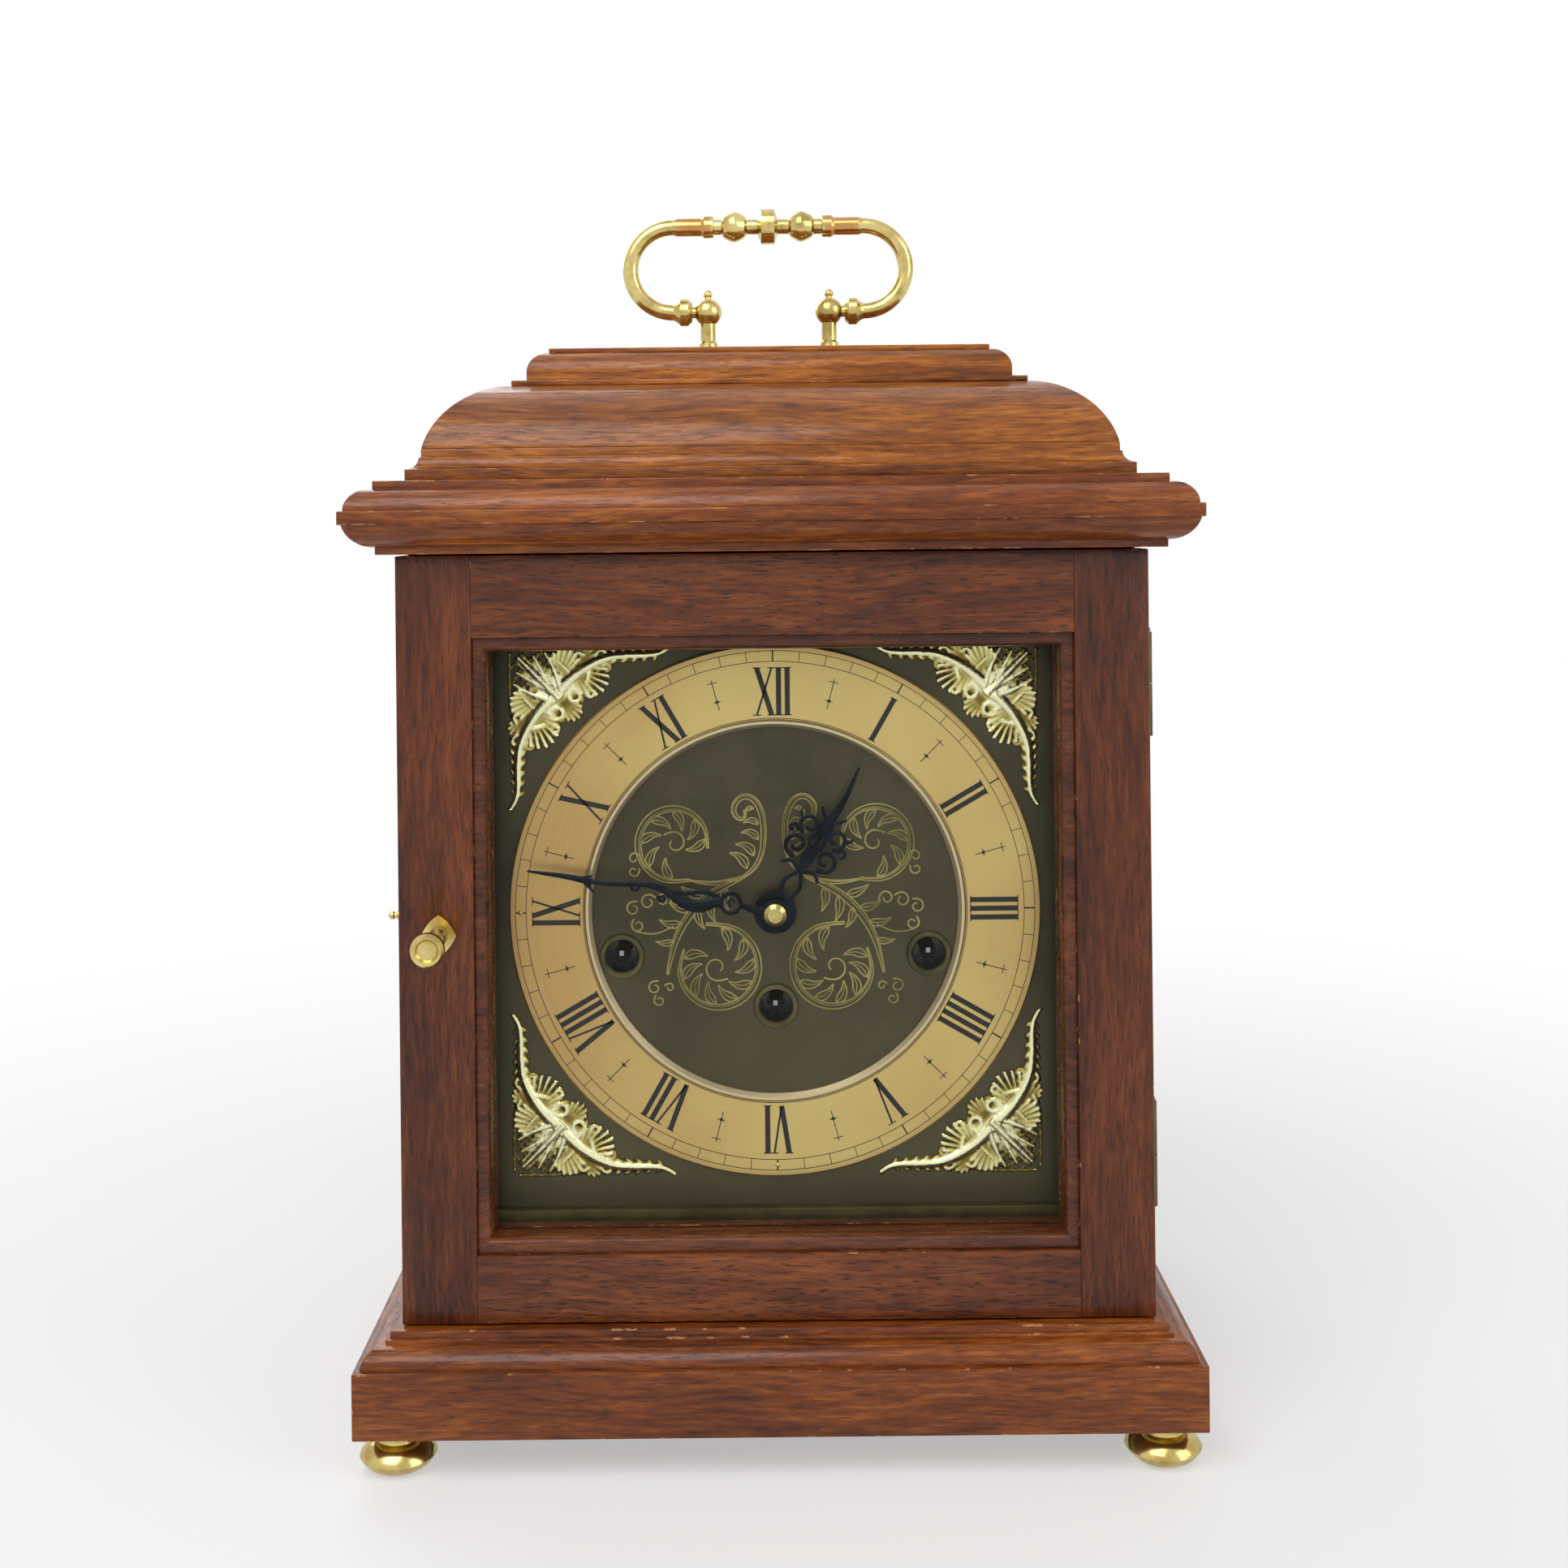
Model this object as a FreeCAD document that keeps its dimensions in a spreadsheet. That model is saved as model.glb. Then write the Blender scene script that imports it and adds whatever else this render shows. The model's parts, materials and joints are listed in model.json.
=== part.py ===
import FreeCAD, Part
import math
import os
import re
import Sketcher

Vector = FreeCAD.Vector
Rotation = FreeCAD.Rotation

# ---------------------------------------------------------------------------
# Bracket clock with a bell top, a full front door and a three train movement.
# Millimetres. The front of the clock faces -Y, +X is to the viewer's right and
# +Z is up. The origin is the middle of the surface that the feet stand on.
# ---------------------------------------------------------------------------

# Driving sizes, each written once.
SIZES = {
    # plinth and feet
    "base_depth": 175.0,
    "base_height": 19.6,
    "base_moulding_height": 8.5,
    "base_ovolo": 5.3,
    "base_ledge": 2.0,
    "base_wall": 26.0,
    "bottom_board_thickness": 8.0,
    "foot_height": 12.2,
    "foot_radius": 11.4,
    "foot_neck_radius": 8.2,
    "foot_inset": 11.5,
    # carcass
    "case_setback": 12.8,
    "side_thickness": 9.0,
    "top_board_thickness": 9.0,
    "back_rail_height": 22.0,
    "back_thickness": 9.0,
    # cornice, bell top and cap
    "cornice_fillet": 2.2,
    "cornice_ovolo": 6.7,
    "cornice_ovolo_run": 7.9,
    "cornice_ovolo_radius": 8.6,
    "lip_projection": 14.2,
    "lip_thickness": 4.1,
    "upper_ovolo": 6.4,
    "upper_fillet": 2.5,
    "bell_step_height": 3.5,
    "bell_cove": 3.6,
    "bell_fillet": 2.6,
    "bell_step_inset": 2.6,
    "bell_inset": 6.8,
    "bell_run": 25.8,
    "bell_rise": 20.4,
    "bell_radius": 27.0,
    "bell_wall": 6.0,
    "cap_fillet": 1.7,
    "cap_step": 2.9,
    "cap_round": 6.4,
    "cap_inset": 31.0,
    "cap_plate_thickness": 1.6,
    # front door
    "door_thickness": 20.0,
    "door_clearance": 0.6,
    "door_gap": 0.4,
    "stile_width": 22.3,
    "top_rail_height": 24.6,
    "bottom_rail_height": 20.0,
    "bead_width": 4.3,
    "bead_depth": 8.5,
    "bead_recess": 1.5,
    "bead_round": 3.2,
    "glass_thickness": 2.0,
    "glass_clearance": 0.3,
    "retainer_depth": 4.0,
    "knob_height": 116.5,
    "knob_edge_distance": 12.1,
    "knob_projection": 21.6,
    "knob_radius": 4.9,
    "knob_stem_radius": 2.2,
    "spindle_radius": 1.6,
    "rose_height": 12.4,
    "rose_width": 10.4,
    "rose_side_radius": 12.0,
    "rose_thickness": 1.6,
    "tongue_length": 7.5,
    "tongue_width": 4.0,
    "tongue_thickness": 1.8,
    "tongue_gap": 4.0,
    "mortise_clearance": 1.5,
    "stud_radius": 1.6,
    "stud_shank_radius": 0.7,
    "stud_depth": 4.0,
    "stud_setback": 5.0,
    "stud_rise": 5.0,
    "running_clearance": 0.06,
    "seat_clearance": 0.3,
    # butt hinges
    "hinge_length": 32.0,
    "hinge_leaf_width": 8.0,
    "hinge_leaf_thickness": 1.2,
    "knuckle_radius": 2.3,
    "hinge_pin_radius": 1.1,
    "hinge_end_distance": 26.0,
    # back door
    "back_door_gap": 0.5,
    "back_door_border": 17.0,
    "back_glass_thickness": 2.0,
    # bail handle
    "pivot_rise": 14.4,
    "pivot_spacing": 40.8,
    "pivot_ball_radius": 4.6,
    "bail_rise": 28.7,
    "bail_half_straight": 32.0,
    "bail_rod_radius": 2.6,
    "bail_grip_radius": 3.0,
    "bail_end_radius": 1.9,
    "post_foot_radius": 4.3,
    # dial
    "dial_setback": 24.0,
    "dial_size": 190.0,
    "dial_side_gap": 8.2,
    "dial_foot_gap": 23.1,
    "dial_head_gap": 16.8,
    "dial_thickness": 2.0,
    "dial_foot_radius": 2.2,
    "mat_lap": 3.5,
    "ring_margin": 12.5,
    "ring_inner_radius": 56.8,
    "ring_thickness": 1.8,
    "winding_offset": 47.6,
    "winding_drop": 14.1,
    "going_drop": 30.0,
    "winding_hole_radius": 6.4,
    "grommet_bore_radius": 5.0,
    "spandrel_margin": 9.5,
    "spandrel_thickness": 2.4,
    "minute_hand_margin": 5.0,
    "hour_hand_length": 52.0,
    "hour_boss_radius": 6.6,
    "hour_bore_radius": 3.6,
    "minute_boss_radius": 4.4,
    "minute_bore_radius": 1.92,
    "hand_thickness": 0.9,
    "hand_spacing": 1.6,
    "hour_hand_rise": 4.2,
    # movement
    "plate_width": 158.0,
    "plate_height": 150.0,
    "plate_thickness": 2.6,
    "plate_gap": 48.0,
    "dial_to_plate": 14.0,
    "pillar_radius": 4.0,
    "pillar_inset": 9.0,
    "arbor_radius": 2.5,
    "square_side": 3.4,
    "barrel_radius": 19.0,
    "barrel_length": 26.0,
    "great_teeth": 65.0,
    "centre_pinion_teeth": 10.0,
    "side_wheel_teeth": 56.0,
    "cannon_teeth": 12.0,
    "minute_wheel_teeth": 36.0,
    "cannon_module": 0.625,
    "minute_pinion_teeth": 10.0,
    "hour_wheel_teeth": 40.0,
    "wheel_thickness": 2.4,
    "motion_thickness": 1.8,
    "plate_drop": 6.0,
    "hammer_drop": 46.0,
    "pendulum_length": 112.0,
    "bob_radius": 17.0,
    "bob_thickness": 7.0,
    "seat_board_thickness": 9.0,
    "gong_rod_radius": 1.5,
    "gong_rod_count": 5.0,
    "gong_rod_pitch": 9.0,
}

# Places that follow from the driving sizes.
PLACES = {
    "plinth_top": "foot_height + base_height",
    "case_bottom": "plinth_top + base_moulding_height",
    "dial_half": "dial_size / 2",
    "dial_z": "case_bottom + dial_foot_gap + dial_half",
    "case_top": "dial_z + dial_half + dial_head_gap",
    "side_inner": "dial_half + dial_side_gap",
    "half_width": "side_inner + side_thickness",
    "base_width": "2 * (half_width + case_setback)",
    "half_depth": "base_depth / 2 - case_setback",
    "door_front": "-half_depth",
    "door_back": "door_front + door_thickness",
    "case_front": "door_back + door_gap",
    "door_bottom": "case_bottom + door_clearance",
    "door_top": "case_top - door_clearance",
    "opening_half": "half_width - stile_width",
    "opening_bottom": "door_bottom + bottom_rail_height",
    "opening_top": "door_top - top_rail_height",
    "lip_bottom": "case_top + cornice_fillet + cornice_ovolo",
    "lip_top": "lip_bottom + lip_thickness",
    "cornice_top": "lip_top + upper_ovolo + upper_fillet",
    "step_top": "cornice_top + bell_step_height",
    "cove_top": "step_top + bell_cove",
    "dome_bottom": "cove_top + bell_fillet",
    "dome_top": "dome_bottom + bell_rise",
    "cap_step_top": "dome_top + cap_fillet + cap_step",
    "cap_top": "cap_step_top + cap_round",
    "plate_top": "cap_top + cap_plate_thickness",
    "pivot_height": "plate_top + pivot_rise",
    "bail_radius": "bail_rise / 2",
    "knob_x": "-(half_width - knob_edge_distance)",
    "knob_z": "case_bottom + knob_height",
    "hinge_x": "half_width + knuckle_radius + 0.2",
    "hinge_y": "door_back + door_gap / 2",
    "leaf_reach": "hinge_leaf_width + knuckle_radius + 0.2",
    "upper_hinge": "door_top - hinge_end_distance - hinge_length",
    "lower_hinge": "door_bottom + hinge_end_distance",
    "dial_front": "door_front + dial_setback",
    "dial_back": "dial_front + dial_thickness",
    "front_plate": "dial_back + dial_to_plate",
    "front_plate_back": "front_plate + plate_thickness",
    "back_plate": "front_plate_back + plate_gap",
    "back_plate_back": "back_plate + plate_thickness",
    "mat_opening": "dial_size - 2 * mat_lap",
    "ring_outer_radius": "dial_half - ring_margin",
    "spandrel_reach": "dial_half - mat_lap - spandrel_margin",
    "minute_hand_length": "ring_outer_radius - minute_hand_margin",
    "movement_bottom": "dial_z - plate_height / 2 - plate_drop",
    "back_door_front": "half_depth - back_thickness",
    "back_opening_bottom": "case_bottom + back_rail_height",
    "back_opening_top": "case_top - back_rail_height",
    "great_module": "2 * going_drop / (great_teeth + centre_pinion_teeth)",
    "hour_module": "2 * motion_distance / (minute_pinion_teeth + hour_wheel_teeth)",
    "motion_distance": "(cannon_teeth + minute_wheel_teeth) * cannon_module / 2",
    "hour_front": "dial_front - hour_hand_rise",
    "minute_front": "hour_front - hand_thickness - hand_spacing",
}

DOC = FreeCAD.newDocument("bracket_clock")
SHEET = DOC.addObject("Spreadsheet::Sheet", "Sizes")
NODES = []


def fill_sheet():
    """Write each driving size into its own cell and name the cell."""
    for row, (alias, size) in enumerate(SIZES.items(), 1):
        SHEET.set(f"A{row}", alias)
        SHEET.set(f"B{row}", str(size))
        SHEET.setAlias(f"B{row}", alias)
    DOC.recompute()


def spelled(expression):
    """The expression with every name written out as cells of the sheet."""
    def written(match):
        name = match.group(0)
        if name in PLACES:
            return "(" + spelled(PLACES[name]) + ")"
        if name in SIZES:
            return "Sizes." + name
        return name
    return re.sub(r"[a-z][a-z_]*", written, str(expression))


def amount(expression):
    """The present number of an expression."""
    return float(SHEET.evalExpression(spelled(expression)))


def tie(thing, field, expression):
    """Bind one property of an object to the sheet."""
    thing.setExpression(field, spelled(expression))


def place(thing, x="0", y="0", z="0", turn=None):
    """Stand an object at a place tied to the sheet."""
    spot = Vector(amount(x), amount(y), amount(z))
    thing.Placement = FreeCAD.Placement(spot, turn or Rotation())
    tie(thing, "Placement.Base.x", x)
    tie(thing, "Placement.Base.y", y)
    tie(thing, "Placement.Base.z", z)
    return thing


# Turns that point an object's own Z axis another way.
TO_FRONT = Rotation(Vector(1, 0, 0), 90)
TO_BACK = Rotation(Vector(1, 0, 0), -90)
TO_RIGHT = Rotation(Vector(0, 1, 0), 90)
TO_LEFT = Rotation(Vector(0, 1, 0), -90)


def keep(thing, node):
    """Name an object as a sub-part that is written out."""
    thing.Label = node
    if thing.Label != node:
        raise RuntimeError(f"the label {node} is already taken")
    NODES.append(thing)
    return thing


# ---------------------------------------------------------------------------
# Sketches and features
# ---------------------------------------------------------------------------

def add_corner_ties(sketch, geometry, position, x, y):
    """Hold one corner of a sketch at a place tied to the sheet."""
    for kind, expression in (("DistanceX", x), ("DistanceY", y)):
        number = sketch.addConstraint(
            Sketcher.Constraint(kind, -1, 1, geometry, position, amount(expression)))
        sketch.setExpression(f"Constraints[{number}]", spelled(expression))


def arc_between(start, end, radius, side):
    """The shorter arc from start to end with its centre on the given side."""
    chord = end.sub(start)
    half = chord.Length / 2
    height = math.sqrt(max(radius * radius - half * half, 0.0))
    across = Vector(-chord.y, chord.x, 0).normalize()
    centre = start.add(end).multiply(0.5).add(across.multiply(side * height))
    first, last = (start, end) if side > 0 else (end, start)
    angles = [math.atan2(p.y - centre.y, p.x - centre.x) for p in (first, last)]
    if angles[1] < angles[0]:
        angles[1] += 2 * math.pi
    circle = Part.Circle(centre, Vector(0, 0, 1), radius)
    return Part.ArcOfCircle(circle, angles[0], angles[1])


def add_loop(sketch, corners):
    """Draw a closed outline. A corner is (x, y) or (x, y, radius, side), where the
    last two make the run to the next corner an arc, centred left (+1) or right (-1)."""
    points = [Vector(amount(c[0]), amount(c[1]), 0) for c in corners]
    ends = []
    for i, corner in enumerate(corners):
        start, end = points[i], points[(i + 1) % len(points)]
        if len(corner) == 4:
            radius, side = corner[2], corner[3]
            geometry = sketch.addGeometry(arc_between(start, end, amount(radius), side), False)
            number = sketch.addConstraint(Sketcher.Constraint("Radius", geometry, amount(radius)))
            sketch.setExpression(f"Constraints[{number}]", spelled(radius))
            ends.append((geometry, 1, 2) if side > 0 else (geometry, 2, 1))
        else:
            geometry = sketch.addGeometry(Part.LineSegment(start, end), False)
            ends.append((geometry, 1, 2))
    for i, corner in enumerate(corners):
        following = ends[(i + 1) % len(ends)]
        sketch.addConstraint(
            Sketcher.Constraint("Coincident", ends[i][0], ends[i][2], following[0], following[1]))
        add_corner_ties(sketch, ends[i][0], ends[i][1], corner[0], corner[1])


def add_circle(sketch, x, y, radius):
    """Draw a circle with its centre and radius tied to the sheet."""
    centre = Vector(amount(x), amount(y), 0)
    geometry = sketch.addGeometry(Part.Circle(centre, Vector(0, 0, 1), amount(radius)), False)
    add_corner_ties(sketch, geometry, 3, x, y)
    number = sketch.addConstraint(Sketcher.Constraint("Radius", geometry, amount(radius)))
    sketch.setExpression(f"Constraints[{number}]", spelled(radius))


def rectangle(x_low, x_high, y_low, y_high):
    """Corners of a rectangle, for add_loop."""
    return [(x_low, y_low), (x_high, y_low), (x_high, y_high), (x_low, y_high)]


def new_body(name):
    return DOC.addObject("PartDesign::Body", name)


def new_sketch(body, plane):
    """An empty sketch on one of its own body's origin planes."""
    sketch = body.newObject("Sketcher::SketchObject", body.Name + "_sketch")
    sketch.AttachmentSupport = ([f for f in body.Origin.OriginFeatures if f.Role == plane][0], "")
    sketch.MapMode = "FlatFace"
    return sketch


def padded(name, plane, loops, circles, length):
    """A body with one pad of the given outlines and round holes."""
    body = new_body(name)
    sketch = new_sketch(body, plane)
    for loop in loops:
        add_loop(sketch, loop)
    for circle in circles:
        add_circle(sketch, *circle)
    pad = body.newObject("PartDesign::Pad", name + "_pad")
    pad.Profile = sketch
    tie(pad, "Length", length)
    return body


def turned(name, profile, turn=None, at=("0", "0", "0")):
    """A body turned about its own Z axis from a half profile of (radius, height)."""
    body = new_body(name)
    sketch = new_sketch(body, "XZ_Plane")
    add_loop(sketch, profile)
    lathe = body.newObject("PartDesign::Revolution", name + "_turning")
    lathe.Profile = sketch
    lathe.ReferenceAxis = (sketch, ["V_Axis"])
    lathe.Angle = 360
    return place(body, *at, turn)


def block(name, x_low, x_high, y_low, y_high, z_low, z_high):
    """A box between six tied planes."""
    box = DOC.addObject("Part::Box", name)
    tie(box, "Length", f"({x_high}) - ({x_low})")
    tie(box, "Width", f"({y_high}) - ({y_low})")
    tie(box, "Height", f"({z_high}) - ({z_low})")
    return place(box, x_low, y_low, z_low)


def rod(name, radius, length, turn=None, at=("0", "0", "0")):
    """A round bar from a place along the turned Z axis."""
    bar = DOC.addObject("Part::Cylinder", name)
    tie(bar, "Radius", radius)
    tie(bar, "Height", length)
    return place(bar, *at, turn)


def cut(name, base, tools):
    """A base with the tools taken out of it."""
    for number, tool in enumerate(tools):
        result = DOC.addObject("Part::Cut", f"{name}_cut_{number}")
        result.Base = base
        result.Tool = tool
        base = result
    return base


def fused(name, shapes):
    joined = DOC.addObject("Part::MultiFuse", name)
    joined.Shapes = shapes
    joined.Refine = True
    return joined


def group(name, shapes):
    """Separate solids that share one node."""
    together = DOC.addObject("Part::Compound", name)
    together.Links = shapes
    return together


def formed(name, shape, x="0", y="0", z="0", turn=None):
    """A sub-part whose outline follows a formula of sizes read from the sheet."""
    feature = DOC.addObject("Part::Feature", name)
    feature.Shape = shape
    return place(feature, x, y, z, turn)


def extruded(name, corners, turn, length, at):
    """An outline pushed along its own normal."""
    sketch = DOC.addObject("Sketcher::SketchObject", name + "_outline")
    add_loop(sketch, corners)
    place(sketch, *at, turn)
    solid = DOC.addObject("Part::Extrusion", name + "_run")
    solid.Base = sketch
    solid.DirMode = "Normal"
    solid.Solid = True
    tie(solid, "LengthFwd", length)
    return solid


def moulded(name, half_width, half_depth, profile):
    """A block with the same moulding on four sides and mitred corners: the run across
    the front and the run along the sides, kept where they cross. The profile climbs
    one side as (inset, height) corners."""
    runs = []
    for half, reach, turn, at_x, at_y in (
            (half_width, half_depth, Rotation(Vector(1, 0, 0), 90), "0", f"({half_depth})"),
            (half_depth, half_width, Rotation(Vector(1, 1, 1), 120), f"-({half_width})", "0")):
        right = []
        left = []
        for inset, height, *bend in profile:
            right.append([f"({half}) - ({inset})", height, *bend])
            left.append([f"-(({half}) - ({inset}))", height])
        # A bend belongs to the run that follows a corner, so it moves one corner down.
        for number in range(len(profile) - 1):
            bend = profile[number][2:]
            if bend:
                left[number + 1] += [bend[0], bend[1]]
        corners = [tuple(c) for c in right] + [tuple(c) for c in reversed(left)]
        runs.append(extruded(f"{name}_{len(runs)}", corners, turn, f"2 * ({reach})", (at_x, at_y, "0")))
    common = DOC.addObject("Part::MultiCommon", name)
    common.Shapes = runs
    return common


# ---------------------------------------------------------------------------
# Case
# ---------------------------------------------------------------------------

def make_plinth():
    """Moulded plinth frame with a loose bottom board inside."""
    solid = moulded("plinth", "base_width / 2", "base_depth / 2", [
        ("0", "foot_height"),
        ("0", "plinth_top"),
        ("base_ledge", "plinth_top", "base_ovolo", 1),
        ("base_ledge + base_ovolo", "plinth_top + base_ovolo"),
        ("base_ledge + base_ovolo + 1", "plinth_top + base_ovolo"),
        ("base_ledge + base_ovolo + 1", "plinth_top + base_ovolo + 1.1"),
        ("base_ledge + base_ovolo + 2.2", "plinth_top + base_ovolo + 1.1"),
        ("base_ledge + base_ovolo + 2.2", "case_bottom"),
    ])
    inside_x = "base_width / 2 - base_wall"
    inside_y = "base_depth / 2 - base_wall"
    hollow = block("plinth_hollow", f"-({inside_x})", inside_x, f"-({inside_y})", inside_y,
                   "foot_height - 1", "case_bottom + 1")
    keep(cut("plinth_frame", solid, [hollow]), "plinth_frame")
    keep(block("bottom_board", f"-({inside_x} - seat_clearance)", f"{inside_x} - seat_clearance",
               f"-({inside_y} - seat_clearance)", f"{inside_y} - seat_clearance",
               "case_bottom - bottom_board_thickness", "case_bottom"), "bottom_board")


def make_feet():
    """Four turned bun feet, each a ring neck under the plinth above a flattened ball."""
    profile = [
        ("0", "0"),
        ("foot_radius * 0.55", "0", "foot_radius * 0.62", 1),
        ("foot_radius", "foot_height * 0.33", "foot_radius * 0.62", 1),
        ("foot_radius * 0.66", "foot_height * 0.66"),
        ("foot_radius * 0.56", "foot_height * 0.70"),
        ("foot_neck_radius * 0.72", "foot_height * 0.80"),
        ("foot_neck_radius", "foot_height * 0.84"),
        ("foot_neck_radius", "foot_height"),
        ("0", "foot_height"),
    ]
    feet = [turned("foot", profile, None, (f"{x_side} * (base_width / 2 - foot_inset)",
                                           f"{y_side} * (base_depth / 2 - foot_inset)", "0"))
            for x_side in (-1, 1) for y_side in (-1, 1)]
    keep(group("feet", feet), "bun_feet")


def make_side(node, side):
    """Side board. The right one is let in for the hinge leaves, the left one is
    mortised for the latch tongue."""
    low, high = ("side_inner", "half_width") if side > 0 else ("-half_width", "-side_inner")
    board = block(node + "_board", low, high, "case_front", "half_depth", "case_bottom", "case_top")
    tools = []
    if side > 0:
        for bottom in ("lower_hinge", "upper_hinge"):
            tools.append(block(node + "_rebate", "half_width - hinge_leaf_width", "half_width + 1",
                               "case_front - 1", "case_front + hinge_leaf_thickness",
                               bottom, f"{bottom} + hinge_length"))
        tools += back_leaf_rebates("side_inner - 1", "side_inner + hinge_leaf_thickness")
    else:
        tools.append(block("latch_mortise", "-side_inner - tongue_mortise_depth",
                           "-side_inner + 1",
                           "door_back + tongue_gap - mortise_clearance",
                           "door_back + tongue_gap + tongue_thickness + mortise_clearance",
                           "knob_z - tongue_width / 2 - mortise_clearance",
                           "knob_z + tongue_length + mortise_clearance"))
    keep(cut(node, board, tools), node)


def back_leaf_rebates(x_low, x_high):
    """Rebates for the two leaves on one side of the back door's joint."""
    return [block("back_rebate", x_low, x_high,
                  "half_depth - hinge_leaf_width", "half_depth + 1",
                  bottom, f"{bottom} + hinge_length * 0.7")
            for bottom in ("back_lower_hinge", "back_upper_hinge")]


def make_carcass():
    make_side("side_left", -1)
    make_side("side_right", 1)
    rails = [block("back_rail", "-side_inner", "side_inner", "back_door_front", "half_depth", low, high)
             for low, high in (("case_bottom", "back_opening_bottom"), ("back_opening_top", "case_top"))]
    keep(group("rails_behind", rails), "back_rails")
    keep(block("top_board", "-side_inner", "side_inner",
               "case_front", "back_door_front",
               "case_top - top_board_thickness", "case_top"), "top_board")


def make_top():
    """Cornice, bell and cap, each mitred round all four sides."""
    cornice = moulded("cornice", "half_width + lip_projection", "half_depth + lip_projection", [
        ("lip_projection - 5", "case_top"),
        ("lip_projection - 5", "case_top + cornice_fillet"),
        ("1 + cornice_ovolo_run", "case_top + cornice_fillet", "cornice_ovolo_radius", 1),
        ("1", "lip_bottom"),
        ("0", "lip_bottom"),
        ("0", "lip_top"),
        ("1.4", "lip_top", "upper_ovolo", 1),
        ("1.4 + upper_ovolo", "lip_top + upper_ovolo"),
        ("2.3 + upper_ovolo", "lip_top + upper_ovolo"),
        ("2.3 + upper_ovolo", "cornice_top"),
    ])
    hollow = block("cornice_hollow", "-side_inner", "side_inner",
                   "-(half_depth - side_thickness)", "half_depth - side_thickness",
                   "case_top - 1", "cornice_top + 1")
    keep(cut("cornice_moulding", cornice, [hollow]), "cornice_moulding")

    step = moulded("bell_step", "half_width", "half_depth", [
        ("bell_step_inset", "cornice_top"),
        ("bell_step_inset", "step_top", "bell_cove", -1),
        ("bell_step_inset + bell_cove", "cove_top"),
        ("bell_inset", "cove_top"),
        ("bell_inset", "dome_bottom"),
    ])
    throat = block("bell_step_hollow", "-(half_width - bell_inset - 8)", "half_width - bell_inset - 8",
                   "-(half_depth - bell_inset - 8)", "half_depth - bell_inset - 8",
                   "cornice_top - 1", "dome_bottom + 1")
    keep(cut("bell_step_moulding", step, [throat]), "bell_step_moulding")

    dome_half_width = "half_width - bell_inset"
    dome_half_depth = "half_depth - bell_inset"
    dome = moulded("bell", dome_half_width, dome_half_depth, [
        ("0", "dome_bottom", "bell_radius", 1),
        ("bell_run", "dome_top"),
    ])
    cavity = moulded("bell_cavity", f"{dome_half_width} - bell_wall", f"{dome_half_depth} - bell_wall", [
        ("0", "dome_bottom - 1"),
        ("0", "dome_bottom", "bell_radius - bell_wall", 1),
        ("bell_run - bell_wall", "dome_top - bell_wall"),
    ])
    keep(cut("bell_dome", dome, [cavity]), "bell_dome")

    cap = moulded("cap", "half_width - cap_inset", "half_depth - cap_inset", [
        ("0", "dome_top"),
        ("0", "dome_top + cap_fillet"),
        ("4.3", "dome_top + cap_fillet"),
        ("4.3", "cap_step_top", "cap_round", 1),
        ("4.3 + cap_round", "cap_top"),
    ])
    keep(cap, "cap_moulding")
    plate_x = "half_width - cap_inset - 4.3 - cap_round"
    plate_y = "half_depth - cap_inset - 4.3 - cap_round"
    keep(block("cap_plate", f"-({plate_x})", plate_x, f"-({plate_y})", plate_y, "cap_top", "plate_top"),
         "cap_plate")


# ---------------------------------------------------------------------------
# Handle
# ---------------------------------------------------------------------------

def make_handle_post(side):
    """Turned post with a round foot, a stem and a ball that the bail's end enters."""
    profile = [
        ("0", "0"),
        ("post_foot_radius", "0"),
        ("post_foot_radius", "1.6"),
        ("post_foot_radius - 1", "2.4"),
        ("post_foot_radius - 1.2", "3.8"),
        ("2.5", "4.6"),
        ("2.5", "pivot_rise - 3.9", "pivot_ball_radius", 1),
        ("pivot_ball_radius", "pivot_rise", "pivot_ball_radius", 1),
        ("1.1", "pivot_rise + sqrt(pivot_ball_radius * pivot_ball_radius - 1.21)"),
        ("1.1", "pivot_rise + pivot_ball_radius + 0.4", "1.5", 1),
        ("1.5", "pivot_rise + pivot_ball_radius + 1.4", "1.5", 1),
        ("0", "pivot_rise + pivot_ball_radius + 2.9"),
    ]
    post = turned("post_turning", profile, None, (f"{side} * pivot_spacing / 2", "0", "plate_top"))
    bore = rod("post_bore", "bail_end_radius + running_clearance", "pivot_ball_radius + 2",
               TO_RIGHT if side > 0 else TO_LEFT,
               (f"{side} * (pivot_spacing / 2 - 1.5)", "0", "pivot_height"))
    return cut("post", post, [bore])


def grip_profile():
    """Half of the knopped grip, from the middle disc out to the loop."""
    return [
        ("0", "0"),
        ("5.9", "0"),
        ("5.9", "2.2"),
        ("2.5", "3.4"),
        ("2.5", "7.0"),
        ("3.6", "7.8", "10.5", 1),
        ("5.2", "11.2", "10.5", 1),
        ("3.6", "14.8"),
        ("2.6", "15.6"),
        ("2.6", "18.0"),
        ("3.7", "18.4"),
        ("3.7", "21.4"),
        ("bail_grip_radius", "22.4"),
        ("bail_grip_radius", "30.6"),
        ("bail_rod_radius", "bail_half_straight"),
        ("0", "bail_half_straight"),
    ]


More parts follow.
